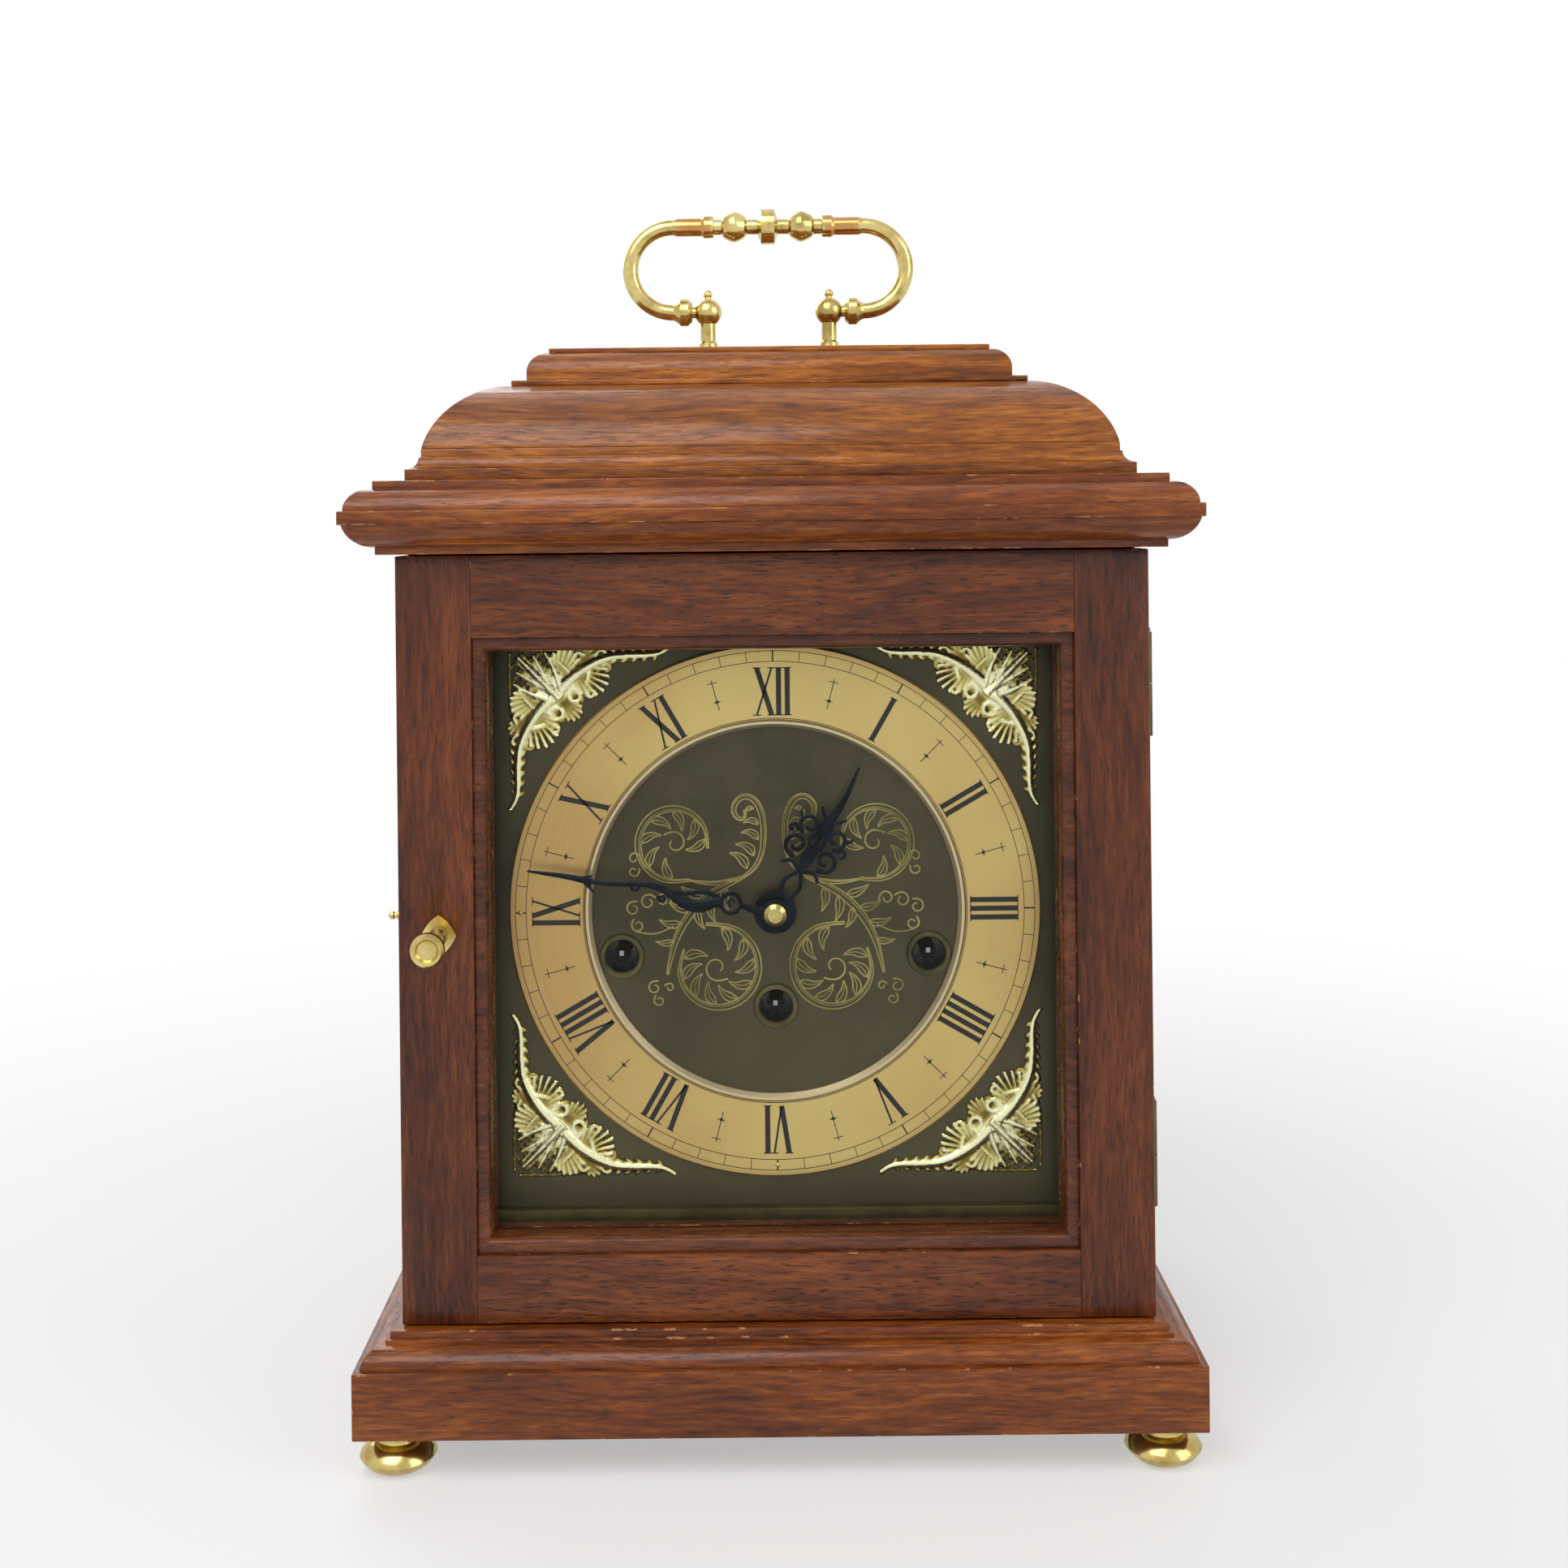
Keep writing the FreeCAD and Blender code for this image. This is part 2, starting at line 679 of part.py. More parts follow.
def make_bail():
    """Bail handle: a knopped grip, two half-round loops and two stub ends."""
    pieces = []
    for side, turn, name in ((1, TO_RIGHT, "right"), (-1, TO_LEFT, "left")):
        pieces.append(turned("grip_" + name, grip_profile(), turn, ("0", "0", "pivot_height + bail_rise")))
        loop = DOC.addObject("Part::Torus", "loop_" + name)
        tie(loop, "Radius1", "bail_radius")
        tie(loop, "Radius2", "bail_rod_radius")
        loop.Angle3 = 180
        # The half ring is laid upright with its open side towards the grip.
        upright = Rotation(Vector(1, 0, 0), 90).multiply(Rotation(Vector(0, 0, 1), -90 * side))
        place(loop, f"{side} * bail_half_straight", "0", "pivot_height + bail_radius", upright)
        pieces.append(loop)
        end = [
            ("0", "pivot_spacing / 2 - 1"),
            ("bail_end_radius", "pivot_spacing / 2 - 1"),
            ("bail_end_radius", "25.6"),
            ("3.2", "25.7"),
            ("4.5", "27.0"),
            ("4.5", "29.6"),
            ("3.2", "31.0"),
            ("bail_rod_radius", "bail_half_straight"),
            ("0", "bail_half_straight"),
        ]
        pieces.append(turned("stub_" + name, end, turn, ("0", "0", "pivot_height")))
    keep(fused("bail_handle", pieces), "bail_handle")


# ---------------------------------------------------------------------------
# Hinges
# ---------------------------------------------------------------------------

def make_leaf(name, length, upper, bottom, turn, at_x, at_y, flip):
    """One leaf of a butt hinge. Its own axis is Z, the joint runs along -X, and flip
    says on which side of the joint the leaf lies."""
    half = f"({length}) / 2"
    low = f"{half} + 0.15" if upper else "0"
    own = f"{half} - 0.15"
    near, far = ("-door_gap / 2 - hinge_leaf_thickness", "-door_gap / 2")
    if flip:
        near, far = ("door_gap / 2", "door_gap / 2 + hinge_leaf_thickness")
    wing = block(name + "_wing", "-leaf_reach", "-knuckle_radius - 0.2", near, far, "0", length)
    neck = block(name + "_neck", "-knuckle_radius - 0.2", "0", near, far, low, f"{low} + {own}")
    knuckle = rod(name + "_knuckle", "knuckle_radius", own, None, ("0", "0", low))
    bore = rod(name + "_bore", "hinge_pin_radius + running_clearance", f"({length}) + 2", None,
               ("0", "0", "-1"))
    leaf = cut(name + "_leaf", fused(name + "_joined", [wing, neck, knuckle]), [bore])
    return place(leaf, at_x, at_y, bottom, turn)


def make_pin(name, length, bottom, at_x, at_y):
    """Hinge pin with a small head on top of the knuckle."""
    profile = [
        ("0", "0"),
        ("hinge_pin_radius", "0"),
        ("hinge_pin_radius", f"({length}) + 0.3"),
        ("hinge_pin_radius + 0.9", f"({length}) + 0.3"),
        ("hinge_pin_radius + 0.6", f"({length}) + 1.3"),
        ("0", f"({length}) + 1.3"),
    ]
    return turned(name, profile, None, (at_x, at_y, bottom))


def make_hinges():
    """Two butt hinges on the right of the front door and two on the back door."""
    pins = []
    for prefix, length, bottoms, turn, at_x, at_y in (
            ("front", "hinge_length", ("lower_hinge", "upper_hinge"), Rotation(), "hinge_x", "hinge_y"),
            ("back", "hinge_length * 0.7", ("back_lower_hinge", "back_upper_hinge"),
             Rotation(Vector(0, 0, 1), 90), "back_hinge_x", "back_hinge_y")):
        fixed_leaves = []
        door_leaves = []
        for number, bottom in enumerate(bottoms):
            name = f"{prefix}_hinge_{number}"
            flip = prefix == "front"
            fixed_leaves.append(make_leaf(name + "_fixed", length, False, bottom, turn, at_x, at_y, flip))
            door_leaves.append(make_leaf(name + "_door", length, True, bottom, turn, at_x, at_y, not flip))
            pins.append(make_pin(name + "_pin", length, bottom, at_x, at_y))
        keep(group(prefix + "_hinge_case_leaves", fixed_leaves), prefix + "_hinge_case_leaves")
        keep(group(prefix + "_hinge_door_leaves", door_leaves), prefix + "_hinge_door_leaves")
    keep(group("all_hinge_pins", pins), "hinge_pins")


# ---------------------------------------------------------------------------
# Front door
# ---------------------------------------------------------------------------

def make_front_door():
    """Stiles the full height of the door, rails between them, a moulded bead in
    front of the glass and a retainer behind it."""
    spindle_hole = rod("spindle_hole", "spindle_radius + running_clearance", "door_thickness + 2",
                       TO_FRONT, ("knob_x", "door_back + 1", "knob_z"))
    left = block("stile_left_board", "-half_width", "-opening_half", "door_front", "door_back",
                 "door_bottom", "door_top")
    stud_hole = rod("stud_hole", "stud_shank_radius", "stud_depth + 1", TO_RIGHT,
                    ("-half_width - 1", "door_front + stud_setback", "knob_z + stud_rise"))
    keep(cut("door_stile_left", left, [spindle_hole, stud_hole]), "door_stile_left")
    right = block("stile_right_board", "opening_half", "half_width", "door_front", "door_back",
                  "door_bottom", "door_top")
    rebates = [block("stile_rebate", "half_width - hinge_leaf_width", "half_width + 1",
                     "door_back - hinge_leaf_thickness", "door_back + 1",
                     bottom, f"{bottom} + hinge_length") for bottom in ("lower_hinge", "upper_hinge")]
    keep(cut("door_stile_right", right, rebates), "door_stile_right")
    keep(block("door_rail_top", "-opening_half", "opening_half", "door_front", "door_back",
               "opening_top", "door_top"), "door_rail_top")
    keep(block("door_rail_bottom", "-opening_half", "opening_half", "door_front", "door_back",
               "door_bottom", "opening_bottom"), "door_rail_bottom")
    make_bead()
    glass_low = "door_front + bead_recess + bead_depth"
    keep(block("door_glass", "-(opening_half - glass_clearance)", "opening_half - glass_clearance",
               glass_low, f"{glass_low} + glass_thickness",
               "opening_bottom + glass_clearance", "opening_top - glass_clearance"), "door_glass")
    back = f"{glass_low} + glass_thickness"
    outer = block("retainer_outer", "-opening_half", "opening_half", back, f"{back} + retainer_depth",
                  "opening_bottom", "opening_top")
    inner = block("retainer_inner", "-(opening_half - bead_width)", "opening_half - bead_width",
                  f"{back} - 1", f"{back} + retainer_depth + 1",
                  "opening_bottom + bead_width", "opening_top - bead_width")
    keep(cut("glass_retainer", outer, [inner]), "glass_retainer")


def make_bead():
    """Glazing bead: a frame inside the door with its front inner edges rounded."""
    body = padded("glazing_bead", "XZ_Plane", [
        rectangle("-opening_half", "opening_half", "opening_bottom", "opening_top"),
        rectangle("-(opening_half - bead_width)", "opening_half - bead_width",
                  "opening_bottom + bead_width", "opening_top - bead_width"),
    ], [], "bead_depth")
    place(body, "0", "door_front + bead_recess + bead_depth", "0")
    DOC.recompute()
    pad = body.Tip
    sight = amount("opening_half - bead_width")
    front = pad.Shape.BoundBox.YMin
    names = []
    for number, edge in enumerate(pad.Shape.Edges, 1):
        box = edge.BoundBox
        if abs(box.YMax - front) < 0.01 and box.XMax < sight + 0.1 and box.XMin > -sight - 0.1:
            names.append(f"Edge{number}")
    rounding = body.newObject("PartDesign::Fillet", "bead_rounding")
    rounding.Base = (pad, names)
    tie(rounding, "Radius", "bead_round")
    keep(body, "glazing_bead")


def knob_profile(spindle_length):
    """A turned knob with a dished front, on a spindle of the given length."""
    reach = "knob_projection"
    return [
        ("0", f"-({spindle_length})"),
        ("spindle_radius", f"-({spindle_length})"),
        ("spindle_radius", "rose_thickness"),
        ("knob_stem_radius + 0.6", "rose_thickness + 0.3"),
        ("knob_stem_radius + 0.6", "rose_thickness + 2"),
        ("knob_stem_radius", "rose_thickness + 3"),
        ("knob_stem_radius", f"{reach} - 7"),
        ("knob_radius - 0.9", f"{reach} - 4"),
        ("knob_radius", f"{reach} - 2.8"),
        ("knob_radius", f"{reach} - 0.8"),
        ("knob_radius - 0.6", reach),
        ("knob_radius - 1.5", reach),
        ("knob_radius - 2.1", f"{reach} - 0.9"),
        ("0", f"{reach} - 0.5"),
    ]


def make_latch():
    """Turning knob on a pointed rose. Its spindle goes through the stile to a tongue,
    drawn upright and free, that turns into a mortise in the left side board."""
    knob = knob_profile("door_thickness + tongue_gap + tongue_thickness")
    keep(turned("door_knob", knob, TO_FRONT, ("knob_x", "door_front", "knob_z")), "door_knob")
    rose = padded("knob_rose", "XZ_Plane", [[
        ("0", "rose_height / 2", "rose_side_radius", -1), ("rose_width / 2", "0", "rose_side_radius", -1),
        ("0", "-rose_height / 2", "rose_side_radius", -1), ("-rose_width / 2", "0", "rose_side_radius", -1),
    ]], [("0", "0", "spindle_radius + running_clearance")], "rose_thickness - 0.2")
    keep(place(rose, "knob_x", "door_front", "knob_z"), "knob_rose")
    tongue = block("tongue_bar", "knob_x - tongue_width / 2", "knob_x + tongue_width / 2",
                   "door_back + tongue_gap", "door_back + tongue_gap + tongue_thickness",
                   "knob_z - tongue_width / 2", "knob_z + tongue_length")
    eye = rod("tongue_eye", "spindle_radius", "tongue_thickness + 2", TO_FRONT,
              ("knob_x", "door_back + tongue_gap + tongue_thickness + 1", "knob_z"))
    keep(cut("latch_tongue", tongue, [eye]), "latch_tongue")
    stud = [
        ("0", "-stud_depth"), ("stud_shank_radius", "-stud_depth"), ("stud_shank_radius", "0"),
        ("stud_radius", "0.3"), ("stud_radius", "0.9"), ("0.9", "1.4"), ("0.9", "2.0"),
        ("1.2", "2.4"), ("1.2", "3.2"), ("0.6", "3.8"), ("0", "3.8"),
    ]
    keep(turned("door_edge_stud", stud, TO_LEFT,
                ("-half_width", "door_front + stud_setback", "knob_z + stud_rise")), "door_edge_stud")


# ---------------------------------------------------------------------------
# Back door
# ---------------------------------------------------------------------------

def make_back_door():
    """Glazed back door between the side boards and the back rails."""
    wide = "side_inner - back_door_gap"
    low = "back_opening_bottom + back_door_gap"
    high = "back_opening_top - back_door_gap"
    leaf = block("back_door_board", f"-({wide})", wide, "back_door_front", "half_depth", low, high)
    sight = f"{wide} - back_door_border"
    window = block("back_door_window", f"-({sight})", sight, "back_door_front - 1", "half_depth + 1",
                   f"{low} + back_door_border", f"{high} - back_door_border")
    grown = f"{sight} + 4"
    groove = block("back_door_groove", f"-({grown})", grown,
                   "back_door_front - 1", "back_door_front + 3 + back_glass_thickness",
                   f"{low} + back_door_border - 4", f"{high} - back_door_border + 4")
    rebates = back_leaf_rebates(f"{wide} - hinge_leaf_thickness", f"{wide} + 1")
    knob_hole = rod("back_knob_hole", "spindle_radius", "back_thickness + 2", TO_FRONT,
                    (f"-({wide} - 8)", "half_depth + 1", "knob_z"))
    keep(cut("back_door_frame", leaf, [window, groove, knob_hole] + rebates), "back_door_frame")
    keep(block("back_door_glass", f"-({grown} - glass_clearance)", f"{grown} - glass_clearance",
               "back_door_front + 3", "back_door_front + 3 + back_glass_thickness",
               f"{low} + back_door_border - 4 + glass_clearance",
               f"{high} - back_door_border + 4 - glass_clearance"), "back_door_glass")
    keep(turned("back_door_knob", knob_profile("back_thickness"), TO_BACK,
                (f"-({wide} - 8)", "half_depth", "knob_z")), "back_door_knob")


# ---------------------------------------------------------------------------
# Dial
# ---------------------------------------------------------------------------

def make_dial():
    """Square dial plate behind a wooden mat, with its chapter ring and bushes."""
    mat_low = "case_front + 0.1"
    mat_outer = block("mat_outer", "-side_inner", "side_inner", mat_low, "dial_front - 0.1",
                      "case_bottom", "case_top - top_board_thickness")
    mat_inner = block("mat_inner", "-mat_opening / 2", "mat_opening / 2",
                      f"{mat_low} - 1", "dial_front + 1",
                      "dial_z - mat_opening / 2", "dial_z + mat_opening / 2")
    notch = block("mat_notch", "-side_inner - 1", "knob_x + tongue_length + 3",
                  f"{mat_low} - 1", "dial_front + 1",
                  "knob_z - tongue_length - 3", "knob_z + tongue_length + 3")
    keep(cut("dial_mat", mat_outer, [mat_inner, notch]), "dial_mat")

    half = "dial_size / 2"
    holes = [("0", "0", "5.5"), ("0", "-going_drop", "winding_hole_radius"),
             ("-winding_offset", "-winding_drop", "winding_hole_radius"),
             ("winding_offset", "-winding_drop", "winding_hole_radius")]
    plate = padded("dial_sheet", "XZ_Plane", [rectangle(f"-{half}", half, f"-{half}", half)], holes,
                   "dial_thickness")
    place(plate, "0", "dial_back", "dial_z")
    feet = [rod("dial_foot", "dial_foot_radius", "dial_to_plate + dial_thickness / 2", TO_BACK,
                (f"{x_side} * 66", "dial_back - dial_thickness / 2", f"dial_z + {z_side} * 62 - 4"))
            for x_side in (-1, 1) for z_side in (-1, 1)]
    keep(fused("dial_with_feet", [plate] + feet), "dial_plate")

    ring = [
        ("ring_inner_radius", "0"),
        ("ring_outer_radius", "0"),
        ("ring_outer_radius", "ring_thickness - 0.5"),
        ("ring_outer_radius - 0.6", "ring_thickness"),
        ("ring_inner_radius + 2.4", "ring_thickness"),
        ("ring_inner_radius + 1.8", "ring_thickness + 0.6"),
        ("ring_inner_radius + 1.0", "ring_thickness + 0.6"),
        ("ring_inner_radius", "ring_thickness - 0.6"),
    ]
    keep(turned("chapter_ring", ring, TO_FRONT, ("0", "dial_front", "dial_z")), "chapter_ring")

    bush = [
        ("grommet_bore_radius", "-dial_thickness"),
        ("winding_hole_radius", "-dial_thickness"),
        ("winding_hole_radius", "0"),
        ("winding_hole_radius + 0.6", "0"),
        ("winding_hole_radius + 0.3", "0.8"),
        ("grommet_bore_radius + 0.4", "0.8"),
        ("grommet_bore_radius", "0.3"),
    ]
    bushes = [turned(train + "_bush", bush, TO_FRONT, (x, "dial_front", f"dial_z - {drop}"))
              for train, x, drop in winding_places()]
    keep(group("bushes", bushes), "winding_bushes")


def winding_places():
    """The three winding squares: name, X and drop below the dial's centre."""
    return (("strike", "-winding_offset", "winding_drop"),
            ("going", "0", "going_drop"),
            ("chime", "winding_offset", "winding_drop"))


# ---------------------------------------------------------------------------
# Strokes of ornament
# ---------------------------------------------------------------------------

# Steps of a scroll in one turn; the rise of a scallop as a share of its chord; and the
# rise below which an edge is straight.
SCROLL_STEPS = 7
SCALLOP_RISE = 0.32
FLAT_RISE = 0.004


def arc_or_line(start, middle, end):
    """The edge from start to end by way of a middle place."""
    chord = end.sub(start)
    rise = abs(chord.cross(middle.sub(start)).z) / chord.Length
    if rise < FLAT_RISE:
        return Part.LineSegment(start, end).toShape()
    return Part.Arc(start, middle, end).toShape()


def ribbon(line):
    """A flat face of changing width along a smooth line of (x, y, half width)."""
    spots = [Vector(x, y, 0) for x, y, _ in line]
    knots = [0.0]
    for start, end in zip(spots, spots[1:]):
        knots.append(knots[-1] + end.sub(start).Length)
    centre = Part.BSplineCurve()
    centre.interpolate(Points=spots, Parameters=knots)

    def beside(knot, half):
        run = centre.tangent(knot)[0]
        return centre.value(knot).add(Vector(-run.y, run.x, 0).multiply(half))

    sides = []
    for hand in (1, -1):
        side = []
        for number in range(len(line) - 1):
            near, far = line[number][2] * hand, line[number + 1][2] * hand
            low, high = knots[number], knots[number + 1]
            side.append(arc_or_line(beside(low, near), beside((low + high) / 2, (near + far) / 2),
                                    beside(high, far)))
        sides.append(side)
    first, last = line[0][2], line[-1][2]
    tip = centre.value(knots[-1]).add(Vector(centre.tangent(knots[-1])[0]).multiply(last))
    root = centre.value(knots[0]).sub(Vector(centre.tangent(knots[0])[0]).multiply(first))
    caps = [Part.Arc(beside(knots[-1], last), tip, beside(knots[-1], -last)).toShape(),
            Part.Arc(beside(knots[0], -first), root, beside(knots[0], first)).toShape()]
    return Part.Face(Part.Wire(sides[0] + [caps[0]] + sides[1][::-1] + [caps[1]]))


def tapered(points, wide, fine):
    """A line whose half width runs from wide to fine."""
    last = len(points) - 1
    return [(x, y, wide + (fine - wide) * number / last) for number, (x, y) in enumerate(points)]


def scroll(x, y, first, last, start, turns, wide, fine):
    """A line that winds round a place, from one radius to another."""
    count = max(3, round(abs(turns) * SCROLL_STEPS))
    points = []
    for step in range(count + 1):
        radius = first + (last - first) * step / count
        angle = math.radians(start + 360 * turns * step / count)
        points.append((x + radius * math.cos(angle), y + radius * math.sin(angle)))
    return tapered(points, wide, fine)


def shell(root, middle, size, first, last, scallops):
    """A shell leaf: straight flanks from its root to a rim of scallops round a middle."""
    rim = []
    for number in range(scallops + 1):
        angle = math.radians(first + (last - first) * number / scallops)
        rim.append(Vector(middle[0] + size * math.cos(angle), middle[1] + size * math.sin(angle), 0))
    foot = Vector(root[0], root[1], 0)
    centre = Vector(middle[0], middle[1], 0)
    edges = [Part.LineSegment(foot, rim[0]).toShape()]
    for start, end in zip(rim, rim[1:]):
        chord_middle = start.add(end).multiply(0.5)
        outward = chord_middle.sub(centre).normalize().multiply(end.sub(start).Length * SCALLOP_RISE)
        edges.append(Part.Arc(start, chord_middle.add(outward), end).toShape())
    edges.append(Part.LineSegment(rim[-1], foot).toShape())
    return Part.Face(Part.Wire(edges))


def scaled(lines, share):
    """The same lines at another size."""
    return [[(x * share, y * share, half * share) for x, y, half in line] for line in lines]


def flipped(lines):
    """The same lines on the other side of the upright."""
    return [[(-x, y, half) for x, y, half in line] for line in lines]


def crossed(lines):
    """The same lines on the other side of the diagonal."""
    return [[(y, x, half) for x, y, half in line] for line in lines]


def cut_from_sheet(lines, thickness):
    """One pierced piece of sheet whose strokes are the given lines."""
    faces = [ribbon(line) for line in lines]
    return faces[0].multiFuse(faces[1:]).removeSplitter().extrude(Vector(0, 0, thickness))


# ---------------------------------------------------------------------------
# Spandrels
# ---------------------------------------------------------------------------

# The reach for which the corner below is drawn.
CORNER_REACH = 82.0
# How high the lattice, the beads and the shells stand, as shares of the casting.
LATTICE_HEIGHT = 0.5
BEAD_HEIGHT = 0.7
SHELL_HEIGHT = 0.75


def corner_strokes():
    """Half of the upper right corner piece, up to the diagonal: the low lattice that
    fills the crown, then the arm, leaves and scrolls that stand highest."""
    lattice = [
        tapered([(54.0, 80.0), (62.0, 81.2), (72.0, 81.7), (80.6, 81.6)], 0.6, 0.6),
        tapered([(66.5, 81.2), (74.0, 74.0)], 0.5, 0.5),
        tapered([(74.5, 81.4), (78.5, 78.5)], 0.5, 0.5),
    ]
    raised = [
        tapered([(31.8, 81.8), (34.5, 79.9), (39.0, 79.3), (45.0, 79.5), (51.0, 79.0), (57.5, 76.0),
                 (62.5, 72.5), (66.0, 68.5)], 0.6, 2.1),
        scroll(61.4, 67.4, 2.8, 1.0, 60, -0.8, 0.9, 0.6),
        tapered([(67.0, 67.5), (69.8, 73.0), (71.0, 79.0)], 1.7, 0.6),
        tapered([(67.5, 67.0), (73.0, 72.0), (75.8, 78.0)], 1.6, 0.6),
    ]
    return lattice, raised


def corner_shells():
    """The shells of the same half, each as root, middle, size, first and last angle,
    and scallops."""
    return (((61.5, 75.5), (56.4, 73.0), 5.6, 120, 310, 7), ((66.5, 71.0), (65.2, 77.0), 4.4, 20, 170, 5),
            ((66.5, 66.5), (62.4, 62.4), 3.6, 135, 315, 7))


def corner_beads():
    """The beads of the same half, each as x, y and radius."""
    along_crown = [(x, 82.0, 0.9) for x in (60.0, 65.0, 70.0, 75.0, 80.0)]
    return along_crown + [(x, 81.2, 0.8) for x in (40.5, 45.0, 49.5)]


def make_casting(share, thickness):
    """The upper right corner piece at its own size, in three levels of relief."""
    lattice, raised = corner_strokes()
    spine = tapered([(62.6, 62.6), (66.0, 66.0), (72.0, 72.0), (80.0, 80.0)], 1.6, 0.7)
    lattice = scaled(lattice + crossed(lattice), share)
    levels = [ribbon(line).extrude(Vector(0, 0, thickness * LATTICE_HEIGHT)) for line in lattice]
    levels += [ribbon(line).extrude(Vector(0, 0, thickness))
               for line in scaled(raised + crossed(raised) + [spine], share)]
    for leaf in corner_shells():
        face = shell(*leaf)
        face.scale(share)
        levels.append(face.extrude(Vector(0, 0, thickness * SHELL_HEIGHT)))
        levels.append(levels[-1].mirror(Vector(), Vector(1, -1, 0)))
    for x, y, radius in corner_beads():
        for spot in ((x, y), (y, x)):
            middle = Vector(*spot, 0).multiply(share)
            levels.append(Part.makeCylinder(radius * share, thickness * BEAD_HEIGHT, middle))
    return levels[0].multiFuse(levels[1:]).removeSplitter()


def make_spandrels():
    """Four pierced corner pieces cast in relief, one in each corner of the dial."""
    casting = make_casting(amount("spandrel_reach") / CORNER_REACH, amount("spandrel_thickness"))
    upright = casting.mirror(Vector(), Vector(1, 0, 0))
    quarters = {"upper_right": casting, "upper_left": upright,
                "lower_left": upright.mirror(Vector(), Vector(0, 1, 0)),
                "lower_right": casting.mirror(Vector(), Vector(0, 1, 0))}
    corners = [formed("spandrel_" + corner, shape, "0", "dial_front", "dial_z", TO_FRONT)
               for corner, shape in quarters.items()]
    keep(group("corners", corners), "spandrels")


# ---------------------------------------------------------------------------
# Hands
# ---------------------------------------------------------------------------

# Lengths for which the hands below are drawn, and the hour they show, clockwise
# from twelve.
HOUR_PLAN = 52.0
MINUTE_PLAN = 77.5
HOUR_ANGLE = 31.5
MINUTE_ANGLE = 280.5


def hour_hand_strokes():
    """A waisted loop over the boss, a broad head of scrolls and a curved pointer."""
    side = [
        tapered([(1.2, 5.0), (2.8, 8.4), (2.5, 11.6), (0.5, 14.4)], 0.62, 0.55),
        tapered([(0.3, 14.4), (2.6, 16.4), (5.2, 16.2), (6.6, 14.2)], 0.62, 0.45),
        scroll(5.2, 21.4, 4.0, 1.3, -110, 1.2, 0.62, 0.45),
        scroll(4.6, 28.8, 3.6, 1.2, -80, 1.1, 0.6, 0.45),
        tapered([(0.3, 16.0), (1.5, 19.0), (1.1, 22.5), (2.6, 25.3), (1.2, 28.6), (2.0, 31.4), (0.4, 34.4)],
                0.75, 0.55),
        scroll(8.6, 25.4, 1.6, 0.7, 190, -0.9, 0.5, 0.4),
        tapered([(0.6, 32.6), (2.8, 33.4), (4.3, 35.6)], 0.6, 0.4),
    ]
    pointer = [tapered([(0.0, 29.0), (0.5, 35.0), (0.6, 39.5), (0.3, 44.0), (-0.4, 49.0), (-0.7, 51.6)],
                       1.35, 0.3),
               tapered([(0.0, 14.0), (0.0, 20.0), (0.0, 29.0)], 0.6, 0.8)]
    return side + flipped(side) + pointer


def minute_hand_strokes():
    """A pierced oval over the boss, a serpentine shaft with curls, a barb and a point."""
    return [
        tapered([(0.0, 3.5), (0.3, 7.5), (0.8, 10.8)], 1.7, 0.7),
        scroll(0.9, 13.9, 3.2, 3.2, -90, 0.55, 0.6, 0.6),
        scroll(0.9, 13.9, 3.2, 3.2, 90, 0.55, 0.6, 0.6),
        tapered([(0.9, 16.9), (0.2, 19.5), (-1.2, 23.0), (-1.6, 27.0), (-0.4, 31.0), (1.4, 34.5), (2.2, 38.5),
                 (2.1, 42.0)], 1.6, 0.8),
        tapered([(1.4, 17.2), (3.1, 20.5), (2.8, 24.5), (1.2, 28.2), (1.4, 31.8)], 0.85, 0.6),
        tapered([(-0.6, 19.0), (-2.9, 22.0), (-3.3, 26.0), (-2.0, 30.0), (-0.4, 32.6)], 0.7, 0.5),
        scroll(0.9, 43.6, 1.6, 0.7, 30, 0.9, 0.5, 0.4),
        tapered([(2.1, 41.5), (1.5, 45.5), (0.6, 49.5), (0.1, 54.0), (0.0, 58.0)], 0.85, 0.6),
        tapered([(-2.9, 56.0), (-1.4, 58.0), (0.1, 59.6), (0.2, 62.0)], 0.35, 0.9),
        tapered([(1.9, 57.4), (0.9, 59.4), (0.1, 61.4)], 0.3, 0.8),
        tapered([(0.0, 57.0), (0.3, 61.0), (0.3, 68.0), (0.0, 73.0), (-0.1, 77.2)], 1.15, 0.3),
    ]


def make_hands():
    """Blued hands: the hour hand points a little past one, the minute hand at a
    little past forty six minutes."""
    thickness = amount("hand_thickness")
    plans = (("hour_hand", hour_hand_strokes(), HOUR_PLAN, HOUR_ANGLE, "hour_front", "hour"),
             ("minute_hand", minute_hand_strokes(), MINUTE_PLAN, MINUTE_ANGLE, "minute_front", "minute"))
    for node, strokes, drawn_length, angle, front, prefix in plans:
        share = amount(prefix + "_hand_length") / drawn_length
        blade = cut_from_sheet(scaled(strokes, share), thickness)
        boss = Part.makeCylinder(amount(prefix + "_boss_radius"), thickness)
        bore = Part.makeCylinder(amount(prefix + "_bore_radius"), thickness)
        shape = blade.fuse(boss).cut(bore).removeSplitter()
        turn = Rotation(Vector(0, 1, 0), angle).multiply(TO_FRONT)
        keep(formed(node, shape, "0", front, "dial_z", turn), node)
    nut = [
        ("1.5 + running_clearance", "0"), ("3.4", "0"), ("3.6", "0.6"), ("3.4", "1.6"), ("2.2", "2.6"),
        ("1.5 + running_clearance", "2.6"),
    ]
    keep(turned("hand_nut", nut, TO_FRONT, ("0", "minute_front - hand_thickness", "dial_z")), "hand_nut")


# ---------------------------------------------------------------------------
# Movement
# ---------------------------------------------------------------------------

